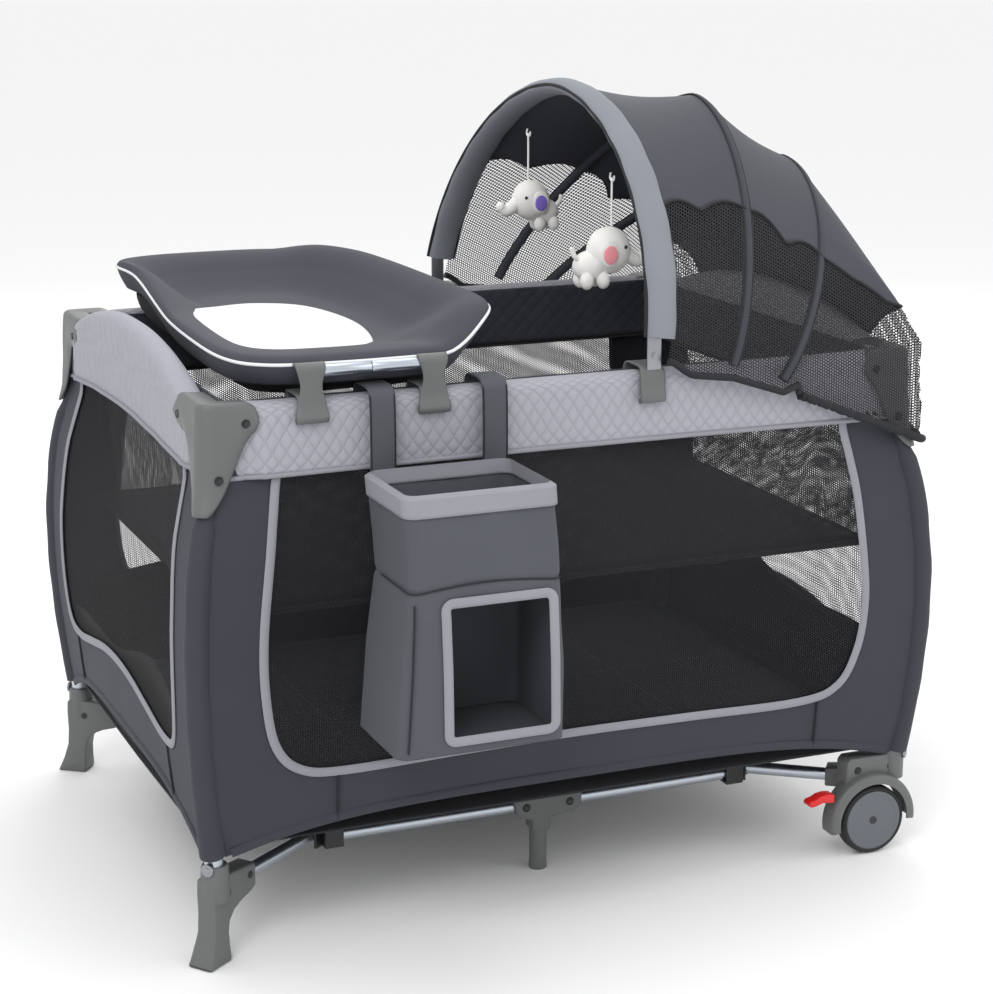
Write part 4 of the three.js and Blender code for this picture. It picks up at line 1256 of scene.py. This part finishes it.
class BuildCaddy(bpy.types.Operator):
    """Builds the side caddy with its pocket, lower opening, rim tape and straps"""

    bl_idname = "play_yard.caddy"
    bl_label = "Side caddy"

    def execute(self, context):
        around = 300
        window = (-0.262, -0.122, 0.342, 0.514, 0.010)

        def in_window(x, z):
            x0, x1, z0, z1, r = window
            dx = max(x0 + r - x, x - (x1 - r), 0.0)
            dz = max(z0 + r - z, z - (z1 - r), 0.0)
            return x0 <= x <= x1 and z0 <= z <= z1 and math.hypot(dx, dz) <= r

        def wall(u, v):
            z = 0.3225 + (0.650 - 0.3225) * v
            p = caddy_point(u, z)
            sag = 0.0022 * noise.noise(Vector((p.x * 16, p.y * 16, z * 12)))
            seam = -0.0022 * math.exp(-((z - 0.533 - 0.006 * math.cos((p.x + 0.206) * 18)) / 0.0035) ** 2)
            out = Vector((p.x + 0.206, p.y + 0.505, 0)).normalized()
            return p + out * (sag + seam)

        bm = grid(around, 110, wall, (0.84, 0.335))
        cut = [f for f in bm.faces if f.calc_center_median().y < -0.55 and in_window(f.calc_center_median().x, f.calc_center_median().z)]
        bmesh.ops.delete(bm, geom=cut, context="FACES")
        own(bm, "caddy_body", "caddy", "caddy", ("caddy",), thick=0.003,
            offset=-1.0)

        def slab(level, thickness_name, body_material):
            ring = [caddy_point(k / 80, level, 0.002) for k in range(80)]
            centre = sum(ring, Vector()) / len(ring)
            return own(grid(80, 8, lambda u, v: centre.lerp(ring[round(u * 80) % 80], v)),
                thickness_name, body_material, "caddy", thick=0.003)

        slab(0.3245, "caddy_bottom", "caddy")
        slab(0.532, "caddy_shelf", "caddy")
        x0, x1, z0, z1, r = window
        loop = [((x0 + x1) / 2 + a, (z0 + z1) / 2 + b) for a,
            b in round_rect((x1 - x0) / 2 + 0.003, (z1 - z0) / 2 + 0.003, r, 8)]

        def front(x, z):
            low = 0.0
            for level, up in zip(CADDY_LEVELS, CADDY_LEVELS[1:]):
                if z <= up[0]:
                    t = max((z - level[0]) / (up[0] - level[0]), 0.0)
                    low = level[3] + (up[3] - level[3]) * t
                    break
            return Vector((x, low - 0.002, z))

        dense = []
        for (ax, az), (bx, bz) in zip(loop, loop[1:] + loop[:1]):
            steps = max(1, int(math.hypot(bx - ax, bz - az) / 0.01))
            dense += [front(ax + (bx - ax) * k / steps,
                az + (bz - az) * k / steps) for k in range(steps)]
        own(ribbon(dense, 0.013, (0, -1, 0), True, 0.0026), "caddy_opening_tape", "binding",
            "caddy")

        def rim(u, v):
            if v < 0.5:
                z, inset = 0.626 + 0.028 * (v / 0.5), -0.0028
            else:
                z, inset = 0.654 - 0.020 * (v - 0.5) / 0.5, 0.004
            return caddy_point(u, min(z, 0.652), inset) + Vector((0, 0, max(z - 0.652, 0)))

        own(grid(160, 12, rim), "caddy_rim_tape", "binding", "caddy", thick=0.0014)
        darts = None
        path = [front(-0.306 - 0.014 * (1 - k / 10), 0.332 + 0.188 * k / 10) for k in range(11)]
        darts = merge(darts, ribbon(path, 0.003, (0, -1, 0), thick=0.0016))
        seam = []
        for k in range(81):
            share = -0.30 + 0.60 * k / 80
            seam.append(caddy_point(share, 0.533 + 0.006 * math.cos((caddy_point(share,
                0.533).x + 0.206) * 18), -0.0002))
        darts = merge(darts, sweep(seam, 0.0010, sides=8))
        own(darts, "caddy_seams", "slate_dark", "caddy")
        for label, x in (("left", -0.282), ("right", -0.126)):
            line = smooth_path([(-0.4035, 0.632, 0), (-0.4055, 0.680, 0), (-0.4045, 0.735, 0),
                (-0.401, 0.7515, 0), (-0.392, 0.7572, 0), (-0.372, 0.7578, 0), (-0.354, 0.7568, 0),
                (-0.3450, 0.7510, 0), (-0.3430, 0.741, 0)], 8)

            def strap(u, v, x=x, line=line):
                p = line[round(v * (len(line) - 1))]
                return Vector((x + (2 * u - 1) * 0.0175, p.x, p.y))

            own(grid(8, len(line) - 1, strap, (0.03, 0.2)), f"caddy_strap_{label}", "caddy",
                "caddy", thick=0.0022, offset=1.0)
            for side in (-1, 1):
                edge = [Vector((x + side * 0.0165, p.x - 0.0022, p.y)) for p in line[:24]]
                own(sweep(edge, 0.0011, sides=8), f"caddy_strap_edge_{label}_{'ab'[side > 0]}",
                    "slate_dark", "caddy")
        return {"FINISHED"}


# ---- canopy ----
def on_bow(bow, v, spread=0.0, shift=0.0):
    """A point on a bow's arch, from 0 at the front foot to 1 at the back foot."""
    x, z, tilt, rise, power = bow
    angle = v * math.pi
    c, s = math.cos(angle), max(math.sin(angle), 0.0)
    lean = math.radians(tilt)
    height = (rise + spread) * s ** (2 / power)
    y = -(BOW_Y + spread) * math.copysign(abs(c) ** (2 / power), c)
    return Vector((x + shift + height * math.sin(lean), y, z + height * math.cos(lean)))


def even_bow(bow, count, spread=0.0, shift=0.0):
    """Points of a bow at even distances."""
    fine = [on_bow(bow, k / 600, spread, shift) for k in range(601)]
    run = [0.0]
    for a, b in zip(fine, fine[1:]):
        run.append(run[-1] + (b - a).length)
    out = []
    k = 0
    for i in range(count + 1):
        want = run[-1] * i / count
        while k < 599 and run[k + 1] < want:
            k += 1
        gap = run[k + 1] - run[k]
        out.append(fine[k].lerp(fine[k + 1], (want - run[k]) / gap if gap else 0.0))
    return out


HEM_CORNER = math.cos(6 * math.pi / 22)


def round_end(v, spread=0.0):
    c = math.cos(v * math.pi)
    side, end = BOW_Y - 0.005 + spread, CAP_X + 0.008 + spread
    on_side = max(0.0, (abs(c) - HEM_CORNER) / (1 - HEM_CORNER))
    on_end = min(1.0, abs(c) / HEM_CORNER)
    return Vector((end - (end - 0.330) * on_side, -side * math.copysign(on_end, c),
        0)), 1 - on_end ** 2, 1 - on_side


# Shares of the cover at the front bow, middle bow, rear bow, shoulder and hem
COVER_LINES = (0.0, 0.25, 0.5, 0.875, 1.0)


def cover_point(u, v, spread=0.0012):
    lines = [on_bow(FRONT_BOW, v, 0.002 + spread, 0.014), on_bow(MIDDLE_BOW, v, 0.008 + spread),
        on_bow(REAR_BOW, v, 0.008 + spread)]
    shoulder, arch, turned = round_end(v, spread)
    hem, _, _ = round_end(v, spread + 0.005)
    shoulder.z = 0.714 + 0.045 * smoothstep(turned) + 0.052 * arch
    hem.z = 0.701 - 0.081 * turned + 0.050 * arch
    lines += [shoulder, hem]
    k = 0
    while k < 3 and u > COVER_LINES[k + 1]:
        k += 1
    t = (u - COVER_LINES[k]) / (COVER_LINES[k + 1] - COVER_LINES[k])
    place = lines[k].lerp(lines[k + 1], t)
    over = math.sin(v * math.pi)
    edge = max(0.0, 1 - min(v, 1 - v) / 0.10)
    if k == 2:
        place.z -= 0.017 * edge * edge * (1 - t)
        place.x += 0.018 * math.sin(t * math.pi) * over
        place.z += 0.012 * math.sin(t * math.pi) * over
    elif k < 2:
        place.z -= 0.017 * edge * edge * smoothstep(u / 0.1)
        sink = 0.010 * math.sin(t * math.pi) * over
        place -= Vector((0.2, 0, 1)).normalized() * sink
    return place


def cloth_edge(u):
    """Where the cloth top meets the mesh side, as a share of the arch from its front foot."""
    marks = ((0.0, 0.205), (0.12, 0.222), (0.25, 0.232), (0.38, 0.222), (0.5, 0.226), (0.62, 0.235),
        (0.75, 0.258), (0.875, 0.34), (1.0, 0.42))
    for (a, x), (b, y) in zip(marks, marks[1:]):
        if u <= b:
            t = (u - a) / (b - a)
            scallop = 0.014 * math.sin(t * math.pi) if b <= 0.5 else 0.0
            return x + (y - x) * t + scallop
    return marks[-1][1]


class BuildCanopy(bpy.types.Operator):
    """Builds the canopy's padded front bow, slim bows, cloth top, mesh sides, hem and clips"""

    bl_idname = "play_yard.canopy"
    bl_label = "Canopy"

    def execute(self, context):
        front = even_bow(FRONT_BOW, 110)[3:-3]

        def padding(share):
            end = min(share, 1 - share)
            wave = 0.0006 * math.sin(share * 90)
            return 0.0235 * (0.90 + 0.10 * smoothstep(end / 0.1)) + wave

        sleeve = sweep(front, padding, sides=24, flat=0.52,
            up=lambda i: bow_out(FRONT_BOW, front[i]))
        own(sleeve, "front_bow_sleeve", "bow", "front_bow", ("canopy_front_bow",),
            thick=0.0)
        for label, shift in (("front", -0.0225), ("rear", 0.0225)):
            lean = math.radians(FRONT_BOW[2])
            edge = [p + Vector((math.cos(lean), 0, -math.sin(lean))) * shift for p in front]
            own(sweep(edge, 0.0026, sides=10), f"front_bow_piping_{label}", "black", "front_bow")
        for bow, name, node in ((MIDDLE_BOW, "middle", "canopy_middle_bow"),
                (REAR_BOW, "rear", "canopy_rear_bow")):
            path = even_bow(bow, 100, 0.004)
            own(sweep(path, 0.0068, sides=16), f"{name}_bow_channel", "slate", f"{name}_bow",
                (node,))
            lean = math.radians(bow[2])
            for label, shift in (("front", -0.0062), ("rear", 0.0062)):
                edge = [p + Vector((math.cos(lean), 0,
                    -math.sin(lean))) * shift for p in even_bow(bow, 100, 0.008)]
                own(sweep(edge, 0.0016, sides=8), f"{name}_bow_piping_{label}", "black",
                    f"{name}_bow")

        along = 64

        def top(u, v):
            low = cloth_edge(u)
            return cover_point(u, low + (1 - 2 * low) * v)

        bm = grid(along, 90, top, (0.5, 0.9))
        piece = own(bm, "canopy_top", "canopy", "", ("canopy_cover",),
            thick=0.0016, offset=-1.0)
        self.fold(piece)
        for label, flip in (("front", False), ("back", True)):
            def side(u, v, flip=flip):
                k = cloth_edge(u) * v
                return cover_point(u, 1 - k if flip else k, 0.0008)

            bm = grid(along, 40, side)
            maps = bm.loops.layers.uv.verify()
            for face in bm.faces:
                for loop in face.loops:
                    co = loop.vert.co
                    loop[maps].uv = (co.x * 0.9 + abs(co.y) * 0.45, co.z)
            self.fold(own(bm, f"canopy_mesh_{label}", "net_canopy", ""))
            edge = [cover_point(u, 1 - cloth_edge(u) if flip else cloth_edge(u),
                0.0016) for u in (k / 90 for k in range(91))]
            self.fold(own(sweep(edge, 0.0024, sides=8), f"canopy_edge_tape_{label}", "black", ""))
        hem = [cover_point(1.0, k / 160, 0.001) for k in range(161)]

        def gathers(share):
            return 0.0058 + 0.0011 * math.sin(share * 420) + 0.0006 * math.sin(share * 173)

        self.fold(own(sweep(hem, gathers, sides=12), "canopy_hem", "slate_dark", ""))
        for label, v in (("front", 0.0), ("back", 1.0)):
            edge = [cover_point(u, v, 0.001) for u in (k / 60 for k in range(61))]
            self.fold(own(sweep(edge, 0.0050, sides=10), f"canopy_lower_edge_{label}", "slate_dark",
                ""))
        for label, sy in (("front", -1), ("back", 1)):
            y = sy * 0.3985
            outline = [(-0.0105, 0.752), (-0.0105, 0.806), (0.0105, 0.806), (0.0105, 0.752)]
            bm = plate(outline, (CLIP_X + 0.002, y, 0), (1, 0, 0), (0, 0, 1), 0.0014, 0.0008)
            bm = rivet(bm, Vector((CLIP_X + 0.002, y + sy * 0.0014, 0.772)), (0, sy, 0), 0.0045)
            own(bm, f"bow_plate_{label}", "steel", "canopy")

            def clip(u, v, sy=sy):
                p = clip_line[round(v * (len(clip_line) - 1))]
                half = 0.0185 - 0.003 * smoothstep((p.y - 0.745) / 0.02)
                cross = 2 * u - 1
                return Vector((CLIP_X + cross * half, sy * (p.x + 0.0014 * (1 - cross * cross)),
                    p.y))

            clip_line = smooth_path([(0.3450, 0.736, 0), (0.3455, 0.750, 0), (0.352, 0.7575, 0),
                (0.370, 0.7585, 0), (0.388, 0.7580, 0), (0.3975, 0.753, 0), (0.4000, 0.742, 0),
                (0.4015, 0.728, 0), (0.4040, 0.716, 0), (0.4020, 0.7085, 0), (0.3965, 0.7080, 0),
                (0.3945, 0.714, 0)], 6)
            own(grid(14, len(clip_line) - 1, clip), f"bow_clip_{label}", "plastic", "canopy",
                (f"canopy_clip_{label}",), thick=0.0032)
        return {"FINISHED"}

    @staticmethod
    def fold(piece):
        """Bakes the piece's placement into its mesh."""
        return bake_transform(piece)


def bow_out(bow, point):
    """Away from the middle of a bow's arch, in its own plane."""
    lean = math.radians(bow[2])
    up = Vector((math.sin(lean), 0, math.cos(lean)))
    centre = Vector((bow[0], 0, bow[1])) + up * 0.02
    flat = point - centre
    flat -= Vector((math.cos(lean), 0, -math.sin(lean))) * flat.dot(Vector((math.cos(lean), 0,
        -math.sin(lean))))
    return flat.normalized()


# ---- toys ----
TOYS = (("back", 0.090, 1.024, 0.068, 0.95, "purple", 1),
    ("front", -0.203, 0.988, 0.066, 1.05, "pink", -1))
TOY_X = 0.136


class BuildToys(bpy.types.Operator):
    """Builds the two hanging plush elephants and their cords"""

    bl_idname = "play_yard.toys"
    bl_label = "Hanging toys"

    def execute(self, context):
        for tag, y, top, length, size, colour, face in TOYS:
            body = f"toy_{tag}"
            low = top - length
            head = low - 0.0003 - 0.032 * size

            def at(side, back, up, y=y, head=head, size=size, face=face):
                return Vector((TOY_X + face * back * size, y + side * size, head + up * size))

            steps = 16
            path = [Vector((TOY_X, y, top - length * k / steps)) for k in range(steps + 1)]
            cord = own(sweep(path, 0.0015, sides=12), f"hang_cord_{tag}", "cord", body,
                (f"toy_cord_{tag}",))
            hook = smooth_path([(TOY_X, y - 0.007, top + 0.003), (TOY_X, y - 0.006, top - 0.003),
                (TOY_X, y, top - 0.0045), (TOY_X, y + 0.006, top - 0.001),
                (TOY_X, y + 0.004, top + 0.006)], 5)
            own(sweep(hook, 0.0014, sides=8), f"toy_hook_{tag}", "piping", body)
            bm = ball(at(0, 0.004, -0.002), (0.031 * size, 0.024 * size, 0.032 * size))
            bm = ball(at(0.004, 0.028, -0.022), (0.026 * size, 0.020 * size, 0.021 * size), bm)
            for dx, dy in ((-0.010, 0.016), (0.012, 0.018), (-0.010, 0.040), (0.012, 0.040)):
                bm = ball(at(dx, dy, -0.040), (0.0095 * size, 0.0085 * size, 0.012 * size), bm)
            trunk = smooth_path([at(0, -0.020, -0.006), at(0, -0.031, -0.014),
                at(0, -0.040, -0.018), at(0, -0.047, -0.012)], 6)
            bm = merge(bm, sweep(trunk, lambda t, size=size: (0.0115 - 0.004 * t) * size, sides=16))
            bm = ball(at(0, -0.048, -0.011), (0.0075 * size, 0.0082 * size, 0.0085 * size), bm)
            tail = smooth_path([at(0, 0.048, -0.012), at(0, 0.055, -0.006), at(0, 0.058, 0.004)], 5)
            bm = merge(bm, sweep(tail, 0.0035 * size, sides=10))
            for side in (-1, 1):
                bm = ball(at(side * 0.022, 0.012, -0.004),
                    (0.015 * size, 0.004 * size, 0.018 * size), bm)
            own(bm, f"elephant_{tag}", "plush", body, (f"toy_{tag}",), smooth=80)
            bm = None
            for side in (-1, 1):
                patch = ball(at(side * 0.0252, 0.012, -0.005),
                    (0.0105 * size, 0.0022 * size, 0.0125 * size))
                bm = merge(bm, patch)
            own(bm, f"ear_patches_{tag}", colour, body, smooth=80)
            bm = None
            for side in (-1, 1):
                bm = ball(at(side * 0.0205, -0.012, 0.004),
                    (0.0026 * size, 0.0022 * size, 0.0026 * size), bm)
            own(bm, f"toy_eyes_{tag}", "black_plastic", body, smooth=80)
        return {"FINISHED"}


# ---- stage ----
class BuildStage(bpy.types.Operator):
    """Sets up the floor, the lights and the camera"""

    bl_idname = "play_yard.stage"
    bl_label = "Stage"

    def execute(self, context):
        scene = context.scene
        look = scene.play_yard
        bm = bmesh.new()
        bmesh.ops.create_grid(bm, x_segments=8, y_segments=8, size=70.0)
        mesh = bpy.data.meshes.new("stage_floor")
        bm.to_mesh(mesh)
        bm.free()
        floor = bpy.data.objects.new("stage_floor", mesh)
        scene.collection.objects.link(floor)
        mesh.materials.append(Graph("stage_floor", (0.90, 0.90, 0.90), 0.9).material)
        world = bpy.data.worlds.new("soft_light")
        world.use_nodes = True
        background = world.node_tree.nodes["Background"]
        background.inputs["Color"].default_value = (1.0, 1.0, 1.0, 1.0)
        background.inputs["Strength"].default_value = look.sky
        scene.world = world
        for name, place, size, power in (("key", (-2.4, -3.0, 3.6), 2.2, look.key),
                ("fill", (3.2, -2.4, 2.2), 2.6, look.key * 0.35),
                ("top", (0.4, 0.6, 4.2), 3.0, look.key * 0.55),
                ("rim", (1.5, 3.6, 2.6), 2.0, look.key * 0.5),):
            light = bpy.data.lights.new(name, "AREA")
            light.energy, light.size = power, size
            lamp = bpy.data.objects.new(name, light)
            lamp.location = place
            aim = Vector((0.05, 0.0, 0.5)) - Vector(place)
            lamp.rotation_euler = aim.to_track_quat("-Z", "Y").to_euler()
            scene.collection.objects.link(lamp)
        camera = bpy.data.cameras.new("camera")
        camera.sensor_width, camera.lens = 36.0, 84.1
        camera.clip_end = 60.0
        eye = bpy.data.objects.new("camera", camera)
        eye.location = (-1.272, -3.142, 1.355)
        eye.rotation_euler = (math.pi / 2 - math.radians(14.27), 0.0, -math.radians(22.76))
        scene.collection.objects.link(eye)
        scene.camera = eye
        scene.view_settings.view_transform = "Standard"
        return {"FINISHED"}


# ---- settings, panel and registration ----
class PlayYardSettings(bpy.types.PropertyGroup):
    """Colours and light of the play yard"""

    slate: bpy.props.FloatVectorProperty(name="Slate", description="Colour of the main cloth",
        subtype="COLOR", size=3, min=0, max=1, default=(0.036, 0.038, 0.051))
    light: bpy.props.FloatVectorProperty(name="Light grey",
        description="Colour of the rail sleeves", subtype="COLOR", size=3, min=0, max=1,
        default=(0.34, 0.34, 0.385))
    plastic: bpy.props.FloatVectorProperty(name="Plastic",
        description="Colour of the caps and feet", subtype="COLOR", size=3, min=0, max=1,
        default=(0.110, 0.114, 0.115))
    key: bpy.props.FloatProperty(name="Key light", description="Power of the key light",
        unit="POWER", default=70.0)
    sky: bpy.props.FloatProperty(name="Sky", description="Strength of the surrounding light",
        default=1.0)


class PlayYardPanel(bpy.types.Panel):
    """Lists the steps that build the play yard"""

    bl_idname = "VIEW3D_PT_play_yard"
    bl_label = "Play Yard"
    bl_space_type = "VIEW_3D"
    bl_region_type = "UI"
    bl_category = "Play Yard"

    def draw(self, context):
        for name in ("slate", "light", "plastic", "key", "sky"):
            self.layout.prop(context.scene.play_yard, name)
        for step in STEPS:
            self.layout.operator(step.bl_idname)


STEPS = (BuildStage, BuildToys, BuildEnclosure, BuildFrame, BuildBassinet, BuildChanger, BuildCaddy,
    BuildCanopy)
CLASSES = (PlayYardSettings, *STEPS, PlayYardPanel)


def register():
    for cls in CLASSES:
        bpy.utils.register_class(cls)
    bpy.types.Scene.play_yard = bpy.props.PointerProperty(type=PlayYardSettings)


def unregister():
    del bpy.types.Scene.play_yard
    for cls in reversed(CLASSES):
        bpy.utils.unregister_class(cls)


def main():
    register()
    make_materials(bpy.context.scene.play_yard)
    for step in STEPS:
        group, name = step.bl_idname.split(".")
        if getattr(getattr(bpy.ops, group), name)() != {"FINISHED"}:
            raise RuntimeError(f"{step.bl_label} did not finish")


if __name__ == "__main__":
    main()
